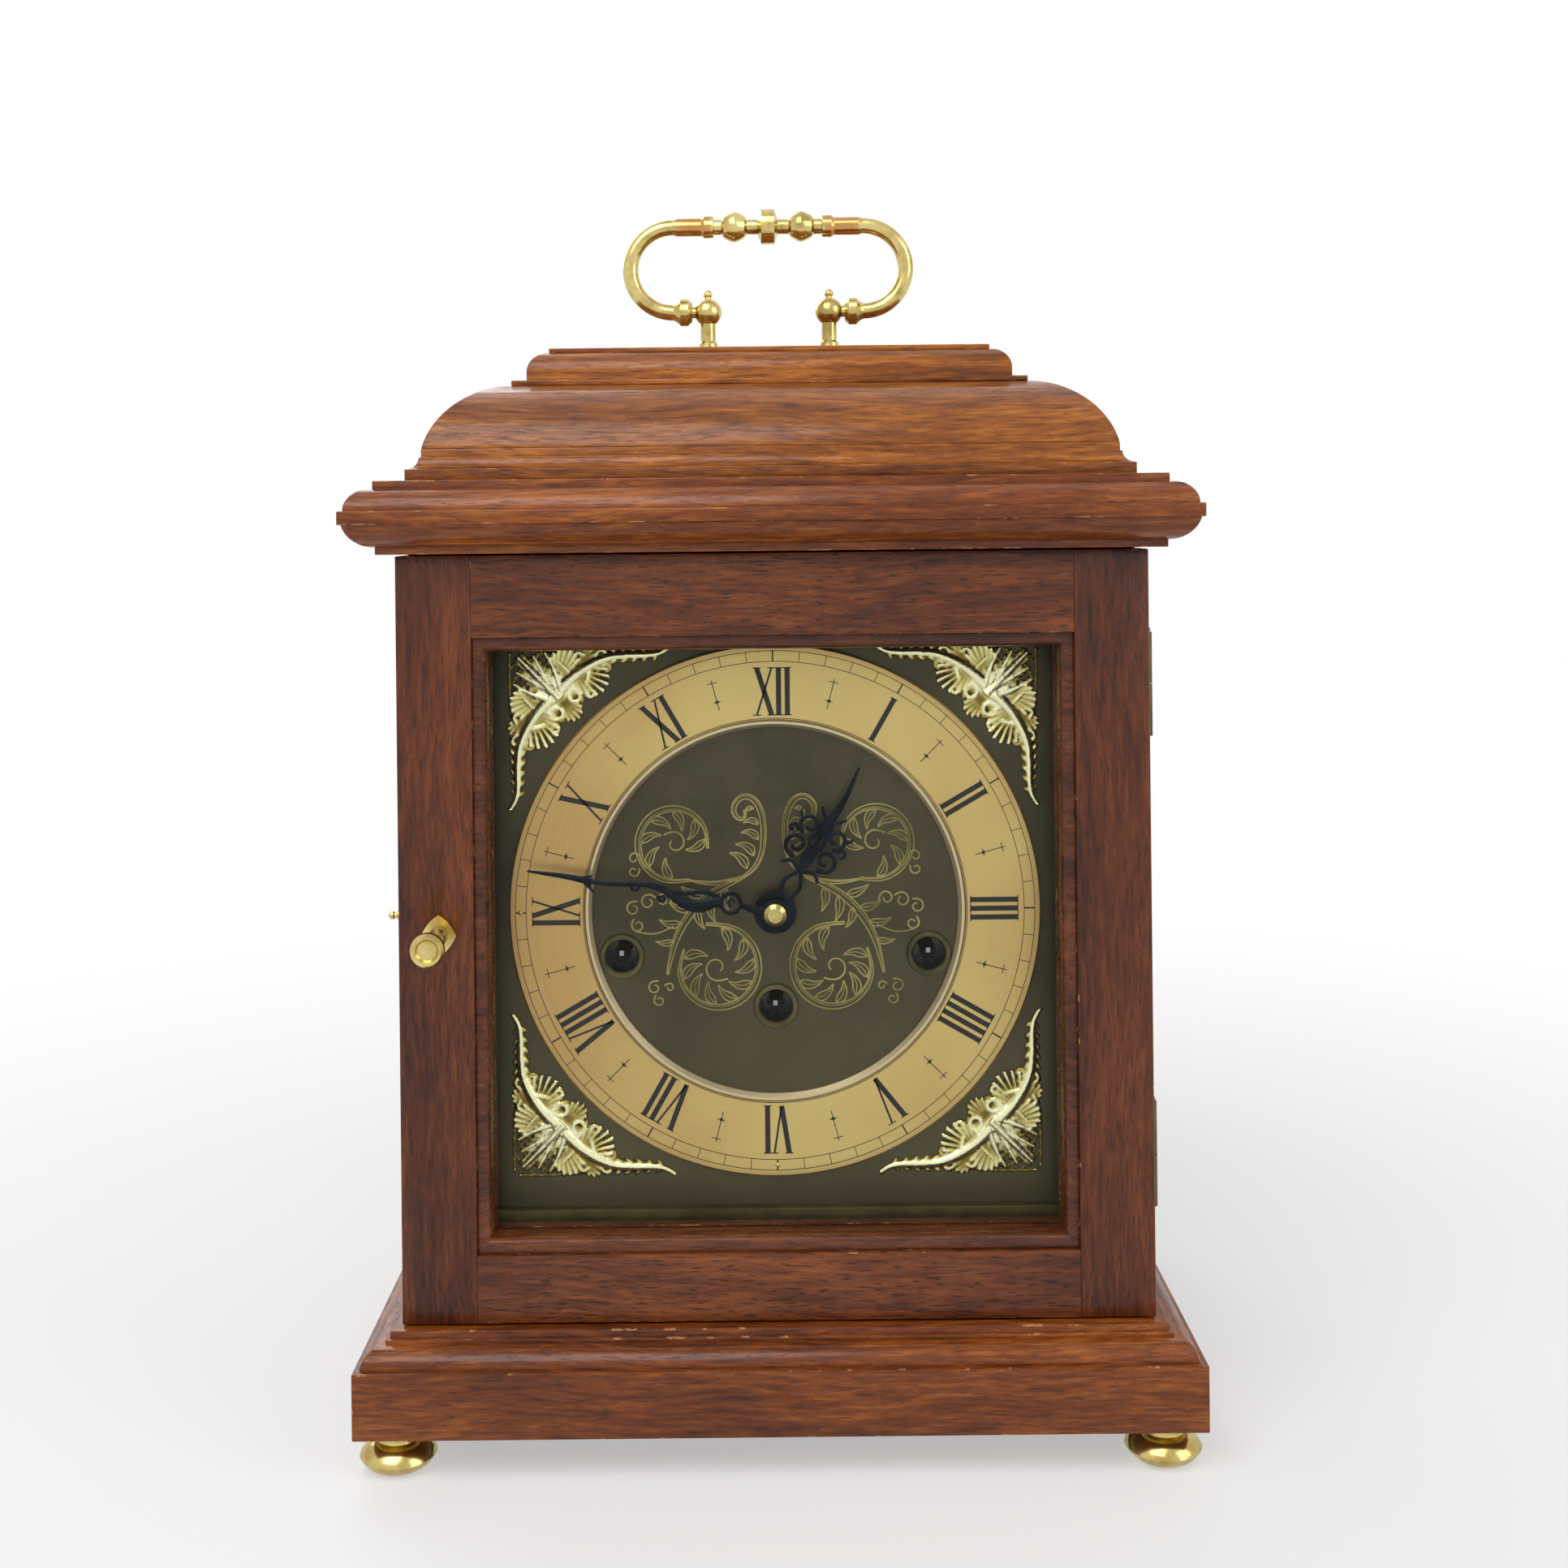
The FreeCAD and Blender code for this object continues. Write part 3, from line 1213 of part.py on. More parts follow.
def toothed(teeth, module, thickness, bore, facing=0.0, gap=False, crossings=0, hub=0.0):
    """A toothed wheel about Z. Its teeth are tapered, and a little thin so that a pair
    runs free. A tooth, or a gap, faces the given angle."""
    pitch = teeth * module / 2
    tip = pitch + 0.85 * module
    root = pitch - 1.15 * module
    step = 2 * math.pi / teeth
    phase = facing + (step / 2 if gap else 0.0)
    corners = []
    for tooth in range(int(teeth)):
        middle = phase + tooth * step
        for radius, half in ((root, 0.32), (pitch, 0.20), (tip, 0.09), (tip, -0.09),
                             (pitch, -0.20), (root, -0.32)):
            angle = middle - half * step
            corners.append(Vector(radius * math.cos(angle), radius * math.sin(angle), 0))
    corners.append(corners[0])
    wheel = Part.Face(Part.makePolygon(corners)).extrude(Vector(0, 0, thickness))
    cutters = [Part.makeCylinder(bore, thickness + 2, Vector(0, 0, -1))]
    for spoke in range(crossings):
        cutters.append(crossing(root - 2.2 * module, hub, crossings, spoke, thickness))
    return wheel.cut(cutters)


def crossing(rim, hub, count, number, thickness):
    """The open window between two arms of a wheel."""
    spread = 2 * math.pi / count
    arm = 1.3
    start = number * spread + math.asin(arm / rim)
    stop = (number + 1) * spread - math.asin(arm / rim)
    start_in = number * spread + math.asin(arm / hub)
    stop_in = (number + 1) * spread - math.asin(arm / hub)

    def spot(radius, angle):
        return Vector(radius * math.cos(angle), radius * math.sin(angle), -1)

    outer = Part.Arc(spot(rim, start), spot(rim, (start + stop) / 2), spot(rim, stop)).toShape()
    inner = Part.Arc(spot(hub, stop_in), spot(hub, (start_in + stop_in) / 2), spot(hub, start_in)).toShape()
    one = Part.LineSegment(spot(rim, stop), spot(hub, stop_in)).toShape()
    two = Part.LineSegment(spot(hub, start_in), spot(rim, start)).toShape()
    return Part.Face(Part.Wire([outer, one, inner, two])).extrude(Vector(0, 0, thickness + 2))


def make_plates():
    """Two brass plates. The front one carries the minute wheel's stud, the back one
    has the four pillars riveted in and a cock for the hammer."""
    half = "plate_width / 2"
    low = "-plate_height / 2 - plate_drop"
    high = "plate_height / 2 - plate_drop"
    pivots = [("0", "0", "centre_pivot_radius + running_clearance")]
    for _, x, drop in winding_places():
        pivots.append((x, f"-{drop}", "arbor_radius + running_clearance"))
    anchor = [("0", "anchor_rise", "anchor_pivot_radius + running_clearance")]
    front = padded("front_plate_sheet", "XZ_Plane", [rectangle(f"-{half}", half, low, high)], pivots,
                   "plate_thickness")
    back = padded("back_plate_sheet", "XZ_Plane", [rectangle(f"-{half}", half, low, high)],
                  pivots + anchor, "plate_thickness")
    place(front, "0", "front_plate_back", "dial_z")
    place(back, "0", "back_plate_back", "dial_z")
    keep(fused("front_plate_with_stud", [front, make_stud()]), "movement_front_plate")
    pillar = [
        ("0", "0"), ("pillar_radius", "0"), ("pillar_radius", "3"), ("pillar_radius * 0.62", "5"),
        ("pillar_radius * 0.62", "plate_gap - 5"), ("pillar_radius", "plate_gap - 3"),
        ("pillar_radius", "plate_gap"), ("0", "plate_gap"),
    ]
    pillars = [turned("pillar", pillar, TO_BACK, (f"{x_side} * ({half} - pillar_inset)",
                                                  "front_plate_back", f"dial_z + {z_edge}"))
               for x_side in (-1, 1)
               for z_edge in (f"{low} + pillar_inset", f"{high} - pillar_inset")]
    keep(fused("back_plate_with_pillars", [back] + pillars + make_hammer_cock()), "movement_back_plate")


def make_stud():
    """The stud that the minute wheel turns on."""
    reach = "3.0 + 2 * motion_thickness"
    return turned("minute_wheel_stud", [
        ("0", "-0.5"), ("2.6", "-0.5"), ("2.6", "0.8"), ("stud_pivot", "0.8"),
        ("stud_pivot", reach), ("0", reach),
    ], TO_FRONT, ("motion_distance", "front_plate", "dial_z"))


def make_hammer_cock():
    """Two ears behind the back plate and the pin through them."""
    ears = [block("hammer_ear", f"hammer_x + {low}", f"hammer_x + {low} + 2",
                  "back_plate_back - 0.5", "back_plate_back + 6", "hammer_pivot_z - 4", "hammer_pivot_z + 4")
            for low in (-4, 2)]
    pin = rod("hammer_pin", "1.2", "8", TO_RIGHT, ("hammer_x - 4", "back_plate_back + 3", "hammer_pivot_z"))
    return ears + [pin]


def make_hammer():
    """Hour hammer: a spring rod under an eye, with a round head beside the gong rods."""
    eye = rod("hammer_eye", "2.8", "3.4", TO_RIGHT,
              ("hammer_x - 1.7", "back_plate_back + 3", "hammer_pivot_z"))
    stem = rod("hammer_stem", "0.8", "hammer_drop - 2", None,
               ("hammer_x", "back_plate_back + 3", "hammer_pivot_z - hammer_drop"))
    head = rod("hammer_head", "3.4", "7", TO_BACK,
               ("hammer_x", "back_plate_back + 0.6", "hammer_pivot_z - hammer_drop"))
    bore = rod("hammer_bore", "1.2 + running_clearance", "5", TO_RIGHT,
               ("hammer_x - 2.5", "back_plate_back + 3", "hammer_pivot_z"))
    keep(cut("hour_hammer", fused("hammer_joined", [eye, stem, head]), [bore]), "hour_hammer")


def make_barrels():
    """Spring barrels with their great wheels, each round a winding arbor whose
    square end stands in its hole in the dial."""
    for node, x, drop in winding_places():
        profile = [
            ("arbor_radius + running_clearance", "2"),
            ("barrel_radius", "2"),
            ("barrel_radius", "2 + barrel_length"),
            ("arbor_radius + running_clearance", "2 + barrel_length"),
        ]
        drum = turned(node + "_drum", profile, TO_BACK, (x, "front_plate_back", f"dial_z - {drop}"))
        teeth = amount("great_teeth") if node == "going" else amount("side_wheel_teeth")
        wheel = toothed(teeth, amount("great_module"), amount("wheel_thickness"),
                        amount("arbor_radius + running_clearance"), -math.pi / 2)
        great = formed(node + "_great_wheel", wheel, x, "front_plate_back + 2 + barrel_length",
                       f"dial_z - {drop}", TO_BACK)
        keep(fused(node + "_barrel", [drum, great]), node + "_barrel")
        shaft = rod(node + "_shaft", "arbor_radius", "plate_gap + 2 * plate_thickness + 3", TO_BACK,
                    (x, "front_plate - 1", f"dial_z - {drop}"))
        side = "square_side"
        square = block(node + "_square", f"{x} - {side} / 2", f"{x} + {side} / 2",
                       "dial_front + 0.5", "front_plate - 1",
                       f"dial_z - {drop} - {side} / 2", f"dial_z - {drop} + {side} / 2")
        keep(fused(node + "_winding_arbor", [shaft, square]), node + "_winding_arbor")


def make_motion_work():
    """Centre arbor with its pinion, cannon pinion, minute wheel and hour wheel.
    One turn of the minute hand moves the hour hand a twelfth of a turn."""
    arbor = [
        ("0", "minute_front_depth"),
        ("1.5", "minute_front_depth"),
        ("1.5", "0"),
        ("centre_pivot_radius", "0"),
        ("centre_pivot_radius", "plate_thickness + plate_gap + plate_thickness + 1"),
        ("0", "plate_thickness + plate_gap + plate_thickness + 1"),
    ]
    shaft = turned("centre_shaft", arbor, TO_BACK, ("0", "front_plate", "dial_z"))
    module = amount("great_module")
    thickness = amount("wheel_thickness")
    pinion = toothed(amount("centre_pinion_teeth"), module, thickness + 3,
                     amount("centre_pivot_radius") - 0.2, math.pi / 2, True)
    leaves = formed("centre_leaves", pinion, "0", "front_plate_back + 2 + barrel_length - 1.5", "dial_z",
                    TO_BACK)
    keep(fused("centre_arbor", [shaft, leaves]), "centre_arbor")

    motion = amount("motion_thickness")
    cannon_wheel = toothed(amount("cannon_teeth"), amount("cannon_module"), motion, 1.6)
    cannon_leaves = formed("cannon_leaves", cannon_wheel, "0", "front_plate - 1 - motion_thickness", "dial_z",
                           TO_BACK)
    pipe = turned("cannon_pipe", [
        ("1.6", "0"), ("1.9", "0"), ("1.9", "cannon_reach"), ("2.4", "cannon_reach"),
        ("2.4", "cannon_reach + 2.7"), ("1.6", "cannon_reach + 2.7"),
    ], TO_BACK, ("0", "minute_front - hand_thickness", "dial_z"))
    keep(fused("cannon_pinion", [cannon_leaves, pipe]), "cannon_pinion")

    stud_bore = amount("stud_pivot + running_clearance")
    minute_wheel = toothed(amount("minute_wheel_teeth"), amount("cannon_module"), motion, stud_bore,
                           math.pi, True, 4, 3.2)
    disc = formed("minute_disc", minute_wheel, "0", "0", "0")
    leaves = formed("minute_leaves",
                    toothed(amount("minute_pinion_teeth"), amount("hour_module"), motion + 1.2, stud_bore,
                            math.pi, True), "0", "0", "0")
    place(disc, "motion_distance", "front_plate - 1 - motion_thickness", "dial_z", TO_BACK)
    place(leaves, "motion_distance", "front_plate - 2.2 - 2 * motion_thickness", "dial_z", TO_BACK)
    keep(fused("minute_wheel", [disc, leaves]), "minute_wheel")
    hour_teeth = toothed(amount("hour_wheel_teeth"), amount("hour_module"), motion, 2.1)
    hour_disc = formed("hour_disc", hour_teeth, "0", "front_plate - 1.6 - 2 * motion_thickness", "dial_z",
                       TO_BACK)
    sleeve = turned("hour_sleeve", [
        ("2.1", "0"), ("3.5", "0"), ("3.5", "hour_reach"), ("2.1", "hour_reach"),
    ], TO_BACK, ("0", "hour_front - hand_thickness - 0.2", "dial_z"))
    keep(fused("hour_wheel", [hour_disc, sleeve]), "hour_wheel")


PLACES.update({
    "tongue_mortise_depth": "tongue_length - (knob_x + side_inner) + 0.8",
    "centre_pivot_radius": "2",
    "stud_pivot": "1.2",
    "anchor_pivot_radius": "0.9",
    "anchor_rise": "52",
    "hammer_x": "-45",
    "hammer_pivot_z": "case_bottom + 8 + 3 * gong_rod_pitch + hammer_drop",
    "back_hinge_x": "side_inner - back_door_gap / 2",
    "back_hinge_y": "half_depth + knuckle_radius + 0.2",
    "back_lower_hinge": "back_opening_bottom + 22",
    "back_upper_hinge": "back_opening_top - 22 - hinge_length * 0.7",
    "minute_front_depth": "minute_front - hand_thickness - 2.6 - front_plate",
    "cannon_reach": "front_plate - 1 - motion_thickness - (minute_front - hand_thickness) - 0.2",
    "hour_reach": "front_plate - 1.6 - 2 * motion_thickness - (hour_front - hand_thickness - 0.2) + 1",
})


def make_pendulum():
    """Anchor on its arbor, with a rod and a lenticular bob behind the back plate."""
    arbor = rod("anchor_arbor_bar", "anchor_pivot_radius", "plate_thickness + 14", TO_BACK,
                ("0", "back_plate - 8", "dial_z + anchor_rise"))
    rod_y = "back_plate_back + 5"
    bar = block("pendulum_bar", "-1.6", "1.6", rod_y, f"{rod_y} + 1",
                "dial_z + anchor_rise - pendulum_length + bob_radius - 2", "dial_z + anchor_rise + 3")
    bob = turned("pendulum_bob_disc", [
        ("0", "-bob_thickness / 2"), ("bob_radius * 0.55", "-bob_thickness * 0.4"), ("bob_radius", "0"),
        ("bob_radius * 0.55", "bob_thickness * 0.4"), ("0", "bob_thickness / 2"),
    ], TO_BACK, ("0", f"{rod_y} + 0.5", "dial_z + anchor_rise - pendulum_length"))
    eye = rod("pendulum_eye", "anchor_pivot_radius", "3", TO_BACK,
              ("0", f"{rod_y} - 1", "dial_z + anchor_rise"))
    keep(arbor, "anchor_arbor")
    keep(cut("pendulum_rod", bar, [eye]), "pendulum_rod")
    keep(cut("pendulum_bob", bob, [block("bob_slot", "-1.65", "1.65", f"{rod_y} - 0.05", f"{rod_y} + 1.05",
                                         "dial_z + anchor_rise - pendulum_length + bob_radius - 2.05",
                                         "dial_z + anchor_rise - pendulum_length + bob_radius + 5")]),
         "pendulum_bob")


def make_seat():
    """Seat board under the movement, on two blocks screwed to the sides."""
    top = "movement_bottom"
    keep(block("seat_board", "-(side_inner - 12)", "side_inner - 12", "front_plate - 2", "back_plate_back",
               f"{top} - seat_board_thickness", top), "seat_board")
    blocks = []
    for side in (-1, 1):
        low, high = ("side_inner - 26", "side_inner") if side > 0 else ("-side_inner", "-(side_inner - 26)")
        blocks.append(block("seat_block", low, high, "front_plate - 2", "back_plate_back",
                            "case_bottom", f"{top} - seat_board_thickness"))
    keep(group("seat_blocks", blocks), "seat_blocks")


def make_gong():
    """Cast block on the bottom board with tuned gong rods along the case."""
    low_y = "back_plate_back + 8"
    block_x = "side_inner - 14"
    base = block("gong_block_casting", f"-({block_x})", f"-({block_x} - 16)", low_y, f"{low_y} + 12",
                 "case_bottom", "case_bottom + gong_rod_count * gong_rod_pitch + 8")
    rods = []
    holes = []
    for number in range(int(amount("gong_rod_count"))):
        height = f"case_bottom + 8 + {number} * gong_rod_pitch"
        length = f"2 * ({block_x}) - 34 - {number} * 11"
        rods.append(rod("gong_rod", "gong_rod_radius", length, TO_RIGHT,
                        (f"-({block_x} - 8)", f"{low_y} + 6", height)))
        holes.append(rod("gong_socket", "gong_rod_radius", length, TO_RIGHT,
                         (f"-({block_x} - 8)", f"{low_y} + 6", height)))
    keep(group("gong_parts", [cut("gong_block", base, holes)] + rods), "gong_block_and_rods")


# ---------------------------------------------------------------------------
# The whole clock
# ---------------------------------------------------------------------------

def check_and_write():
    """Stop on any failed object, then write each sub-part."""
    DOC.recompute()
    faults = [f"{thing.Name} failed" for thing in DOC.Objects
              if "Invalid" in thing.State or "Error" in thing.State]
    for thing in NODES:
        if thing.Shape.isNull() or not thing.Shape.isValid():
            faults.append(f"{thing.Label} has no valid shape")
        elif not thing.Shape.Solids or min(solid.Volume for solid in thing.Shape.Solids) <= 0:
            faults.append(f"{thing.Label} has no solid")
    if faults:
        raise RuntimeError("; ".join(faults))
    os.makedirs("parts", exist_ok=True)
    for thing in NODES:
        thing.Shape.exportStep(f"parts/{thing.Label}.step")
    print(len(NODES), "sub-parts written")


fill_sheet()
make_plinth()
make_feet()
make_carcass()
make_top()
keep(group("posts", [make_handle_post(-1), make_handle_post(1)]), "handle_posts")
make_bail()
make_hinges()
make_front_door()
make_latch()
make_back_door()
make_dial()
make_spandrels()
make_hands()
make_plates()
make_barrels()
make_motion_work()
make_pendulum()
make_hammer()
make_seat()
make_gong()
check_and_write()
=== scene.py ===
import json
import math

import bmesh
import bpy
from mathutils import Matrix, Vector


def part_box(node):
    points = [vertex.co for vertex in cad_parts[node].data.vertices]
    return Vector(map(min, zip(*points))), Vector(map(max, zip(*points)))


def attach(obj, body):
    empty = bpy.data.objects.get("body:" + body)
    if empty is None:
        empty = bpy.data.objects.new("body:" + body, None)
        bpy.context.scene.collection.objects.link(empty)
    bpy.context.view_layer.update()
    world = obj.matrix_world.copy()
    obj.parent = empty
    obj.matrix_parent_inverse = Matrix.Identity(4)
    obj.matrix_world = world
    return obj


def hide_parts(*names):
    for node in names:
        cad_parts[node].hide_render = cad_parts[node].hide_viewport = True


# The looks of the bracket clock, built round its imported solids. Metres. The dial
# faces -Y, +X is to the viewer's right and +Z is up.

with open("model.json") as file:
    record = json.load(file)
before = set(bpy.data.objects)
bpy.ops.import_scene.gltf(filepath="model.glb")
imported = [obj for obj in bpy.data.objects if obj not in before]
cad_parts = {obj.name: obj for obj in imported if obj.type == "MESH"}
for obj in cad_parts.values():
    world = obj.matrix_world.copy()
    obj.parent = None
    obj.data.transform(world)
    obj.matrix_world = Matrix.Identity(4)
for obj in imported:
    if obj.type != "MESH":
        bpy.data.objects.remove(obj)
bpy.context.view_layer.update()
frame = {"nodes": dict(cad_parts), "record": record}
MM = 0.001


# ---------------------------------------------------------------------------
# Materials
# ---------------------------------------------------------------------------

def tone(red, green, blue):
    """A colour given as it looks on a screen, 0 to 255, as light."""
    def light(level):
        level /= 255
        return level / 12.92 if level < 0.04045 else ((level + 0.055) / 1.055) ** 2.4
    return (light(red), light(green), light(blue), 1.0)


class Sum:
    """A socket of a finish, on which arithmetic is written plainly."""

    def __init__(self, finish, socket):
        self.finish = finish
        self.socket = socket

    def maths(self, operation, *others):
        return self.finish.node("Math", {"operation": operation}, dict(enumerate((self,) + others)))

    def __add__(self, other):
        return self.maths("ADD", other)

    def __radd__(self, other):
        return self.maths("ADD", other)

    def __sub__(self, other):
        return self.maths("SUBTRACT", other)

    def __rsub__(self, other):
        return self.finish.node("Math", {"operation": "SUBTRACT"}, {0: other, 1: self})

    def __mul__(self, other):
        return self.maths("MULTIPLY", other)

    def __rmul__(self, other):
        return self.maths("MULTIPLY", other)

    def __truediv__(self, other):
        return self.maths("DIVIDE", other)

    def __gt__(self, other):
        return self.maths("GREATER_THAN", other)

    def __abs__(self):
        return self.maths("ABSOLUTE")

    def smoothed(self, low, high):
        """Runs softly from 0 at low to 1 at high."""
        return self.finish.node("MapRange", {"interpolation_type": "SMOOTHSTEP"},
                                {0: self, 1: low, 2: high, 3: 0.0, 4: 1.0})


class Finish:
    """A procedural material, or the room's light, and the few nodes that they share."""

    def __init__(self, name, kept_in=None):
        kept_in = bpy.data.materials if kept_in is None else kept_in
        self.owner = kept_in.new(name)
        self.owner.use_nodes = True
        self.tree = self.owner.node_tree
        self.tree.nodes.clear()

    def raw(self, kind, settings=None, sockets=None):
        """A shader node with its settings, and the values or links of its sockets."""
        made = self.tree.nodes.new("ShaderNode" + kind)
        for field, setting in (settings or {}).items():
            if field == "stops":
                ramp = made.color_ramp
                while len(ramp.elements) < len(setting):
                    ramp.elements.new(0.5)
                for element, (position, colour) in zip(ramp.elements, setting):
                    element.position = position
                    element.color = colour
            else:
                setattr(made, field, setting)
        for key, given in (sockets or {}).items():
            if isinstance(given, Sum):
                self.tree.links.new(given.socket, made.inputs[key])
            else:
                made.inputs[key].default_value = given
        return made

    def node(self, kind, settings=None, sockets=None, output=0):
        """One output of a new node, ready for arithmetic."""
        return Sum(self, self.raw(kind, settings, sockets).outputs[output])

    def place(self):
        """Where the surface is, as the object's own coordinates."""
        return self.node("TexCoord", output="Object")

    def parts(self, vector):
        """The three numbers of a vector."""
        split = self.raw("SeparateXYZ", {}, {0: vector})
        return [Sum(self, split.outputs[number]) for number in range(3)]

    def vector(self, x, y, z):
        return self.node("CombineXYZ", {}, {0: x, 1: y, 2: z})

    def noise(self, vector, scale, detail=3.0, roughness=0.55):
        return self.node("TexNoise", {}, {"Vector": vector, "Scale": scale, "Detail": detail,
                                          "Roughness": roughness})

    def ramp(self, factor, stops):
        return self.node("ValToRGB", {"stops": stops}, {0: factor})

    def blend(self, factor, first, second):
        """Two colours mixed, all of the second where the factor is 1."""
        return self.node("Mix", {"data_type": "RGBA"}, {"Factor": factor, 6: first, 7: second}, output=2)

    def bump(self, height, distance, strength):
        return self.node("Bump", {}, {"Height": height, "Distance": distance, "Strength": strength})

    def ended(self, shader, kind="OutputMaterial"):
        """End the finish with one shader."""
        self.tree.links.new(shader.outputs[0], self.raw(kind).inputs[0])
        return self.owner

    def mixed(self, share, first, second):
        """One shader over another, all of the second where the share is 1."""
        both = self.raw("MixShader", {}, {0: share})
        self.tree.links.new(first.outputs[0], both.inputs[1])
        self.tree.links.new(second.outputs[0], both.inputs[2])
        return both

    def surface(self, **sockets):
        """End the finish with one surface. Names are the shader's own, with _ for a space."""
        named = {key.replace("_", " "): given for key, given in sockets.items()}
        return self.ended(self.raw("BsdfPrincipled", {}, named))


def grain_place(finish, run, corner=0.0):
    """Coordinates whose first number runs along the grain: x, z, or mitred. A mitred
    piece's grain turns at its corners, where |x| - |y| passes the given corner."""
    x, y, z = finish.parts(finish.place())
    if run == "x":
        return finish.vector(x, y, z)
    if run == "z":
        return finish.vector(z, x, y)
    side = (abs(x) - abs(y)) > corner
    along = side * y + (1 - side) * x
    across = side * x + (1 - side) * y
    return finish.vector(along + side * 3.1, across, z)


def mahogany(name, run, dark, middle, light, corner=0.0, pores=0.5, worn=0.55, seed=0.0):
    """Polished mahogany: broad figure, streaks and short dark pores under a clear
    coat, with the polish rubbed through to pale wood along the edges."""
    finish = Finish(name)
    along, across, height = finish.parts(grain_place(finish, run, corner))
    along = along + seed
    sway = finish.noise(finish.vector(along * 9, across * 5, height * 5), 1.0, 2.0) * 0.012
    swayed, lifted = across + sway, height + sway
    broad = finish.noise(finish.vector(along * 8, swayed * 64, lifted * 64), 1.0, 3.0, 0.6)
    streak = finish.noise(finish.vector(along * 60, swayed * 620, lifted * 620), 1.0, 4.0, 0.7)
    pore = finish.noise(finish.vector(along * 180, across * 1500, height * 1500), 1.0, 2.0, 0.5)
    figure = broad * 0.45 + streak * 0.55
    colour = finish.ramp(figure, [(0.34, dark), (0.50, middle), (0.66, light)])
    open_pore = pore.smoothed(0.55, 0.66)
    colour = finish.blend(open_pore * pores, colour, (dark[0] * 0.35, dark[1] * 0.32, dark[2] * 0.3, 1.0))
    rub = finish.noise(finish.place(), 160.0, 4.0, 0.62).smoothed(0.66 - 0.10 * worn, 0.70 - 0.06 * worn)
    edge = finish.node("Attribute", {"attribute_name": "worn"}, {}, output="Fac")
    bare = edge * rub
    colour = finish.blend(bare * 0.75, colour, tone(196, 140, 94))
    smudge = finish.noise(finish.place(), 24.0, 4.0, 0.6)
    roughness = 0.17 + smudge * 0.14 + bare * 0.3 + open_pore * 0.12
    normal = finish.bump(streak * 0.25 - open_pore * 0.9 - bare * 1.2, 0.00012, 0.5)
    return finish.surface(Base_Color=colour, Roughness=roughness, Normal=normal,
                          Coat_Weight=0.12 - bare * 0.1, Coat_Roughness=0.1, Specular_IOR_Level=0.28)


def waxed_oak(name, run):
    """Plain carcass wood, waxed and dusty."""
    finish = Finish(name)
    along, across, height = finish.parts(grain_place(finish, run))
    streak = finish.noise(finish.vector(along * 14, across * 260, height * 260), 1.0, 5.0, 0.7)
    broad = finish.noise(finish.vector(along * 4, across * 40, height * 40), 1.0, 2.0)
    colour = finish.ramp(streak * 0.6 + broad * 0.4, [(0.35, tone(74, 46, 28)), (0.65, tone(128, 88, 56))])
    return finish.surface(Base_Color=colour, Roughness=0.55 + streak * 0.15,
                          Normal=finish.bump(streak, 0.0002, 0.5))


def brass(name, deep, pale, smooth, spots=0.25):
    """Brass with clouded tarnish, small dark spots and fine wiping marks."""
    finish = Finish(name)
    place = finish.place()
    cloud = finish.noise(place, 85.0, 4.0, 0.6)
    speck = finish.noise(place, 1300.0, 3.0, 0.6)
    colour = finish.ramp(cloud, [(0.32, deep), (0.62, pale)])
    colour = finish.blend(speck.smoothed(0.62, 0.74) * spots, colour,
                          (deep[0] * 0.45, deep[1] * 0.42, deep[2] * 0.4, 1.0))
    x, y, z = finish.parts(place)
    wipe = finish.noise(finish.vector(x * 400, y * 400, z * 2600), 1.0, 2.0)
    return finish.surface(Base_Color=colour, Metallic=1.0, Roughness=smooth + cloud * 0.14 + speck * 0.06,
                          Normal=finish.bump(wipe * 0.3 + speck * 0.3, 0.00004, 0.5))


def handled_brass(name, box):
    """Brass of the carrying handle, coppery where the upper rod leaves its collars."""
    finish = Finish(name)
    place = finish.place()
    x, y, z = finish.parts(place)
    middle = (box[0].x + box[1].x) / 2
    upper = (box[0].z + box[1].z) / 2
    cloud = finish.noise(place, 160.0, 4.0, 0.6)
    out = abs(x - middle) + cloud * 0.003
    worn = out.smoothed(HELD_FROM, HELD_FROM + MM)
    kept = out.smoothed(HELD_TO, HELD_TO + MM)
    colour = finish.ramp(cloud, [(0.32, BRASS_DEEP), (0.62, BRASS_PALE)])
    colour = finish.blend(worn * (1 - kept) * (z > upper) * 0.6, colour, tone(196, 128, 76))
    skin = finish.noise(place, 1800.0, 2.0, 0.5)
    return finish.surface(Base_Color=colour, Metallic=1.0, Roughness=0.10 + cloud * 0.12,
                          Normal=finish.bump(skin, 0.00003, 0.5))


def gilt_casting(name, back):
    """Cast and burnished brass with a sandy skin, its colour set by height over the plate: bright on top as a
    painted highlight, and dark down in its recesses as painted shade."""
    finish = Finish(name)
    place = finish.place()
    x, y, z = finish.parts(place)
    # Painted light: the height over the plate makes raised tops pale (painted highlight) and recesses dark
    # (painted shade).
    top = (back - y).smoothed(0.12 * MM, 0.95 * MM)
    cloud = finish.noise(place, 240.0, 3.0, 0.6)
    skin = finish.noise(place, 1500.0, 3.0, 0.55)
    colour = finish.ramp(top * 0.8 + cloud * 0.3, [
        (0.10, tone(40, 34, 14)), (0.36, tone(140, 118, 56)),
        (0.62, tone(214, 198, 126)), (0.90, tone(250, 242, 196))])
    return finish.surface(Base_Color=colour, Metallic=1.0, Roughness=0.34 - top * 0.16 + skin * 0.1,
                          Normal=finish.bump(skin + cloud, 0.00016, 0.6))


def steel(name, dark, pale, smooth):
    """Cleaned steel with a faint bloom."""
    finish = Finish(name)
    cloud = finish.noise(finish.place(), 120.0, 4.0, 0.6)
    colour = finish.ramp(cloud, [(0.35, dark), (0.65, pale)])
    grain = finish.noise(finish.place(), 3000.0, 2.0)
    return finish.surface(Base_Color=colour, Metallic=0.9, Roughness=smooth + cloud * 0.15,
                          Normal=finish.bump(grain, 0.00003, 0.4))


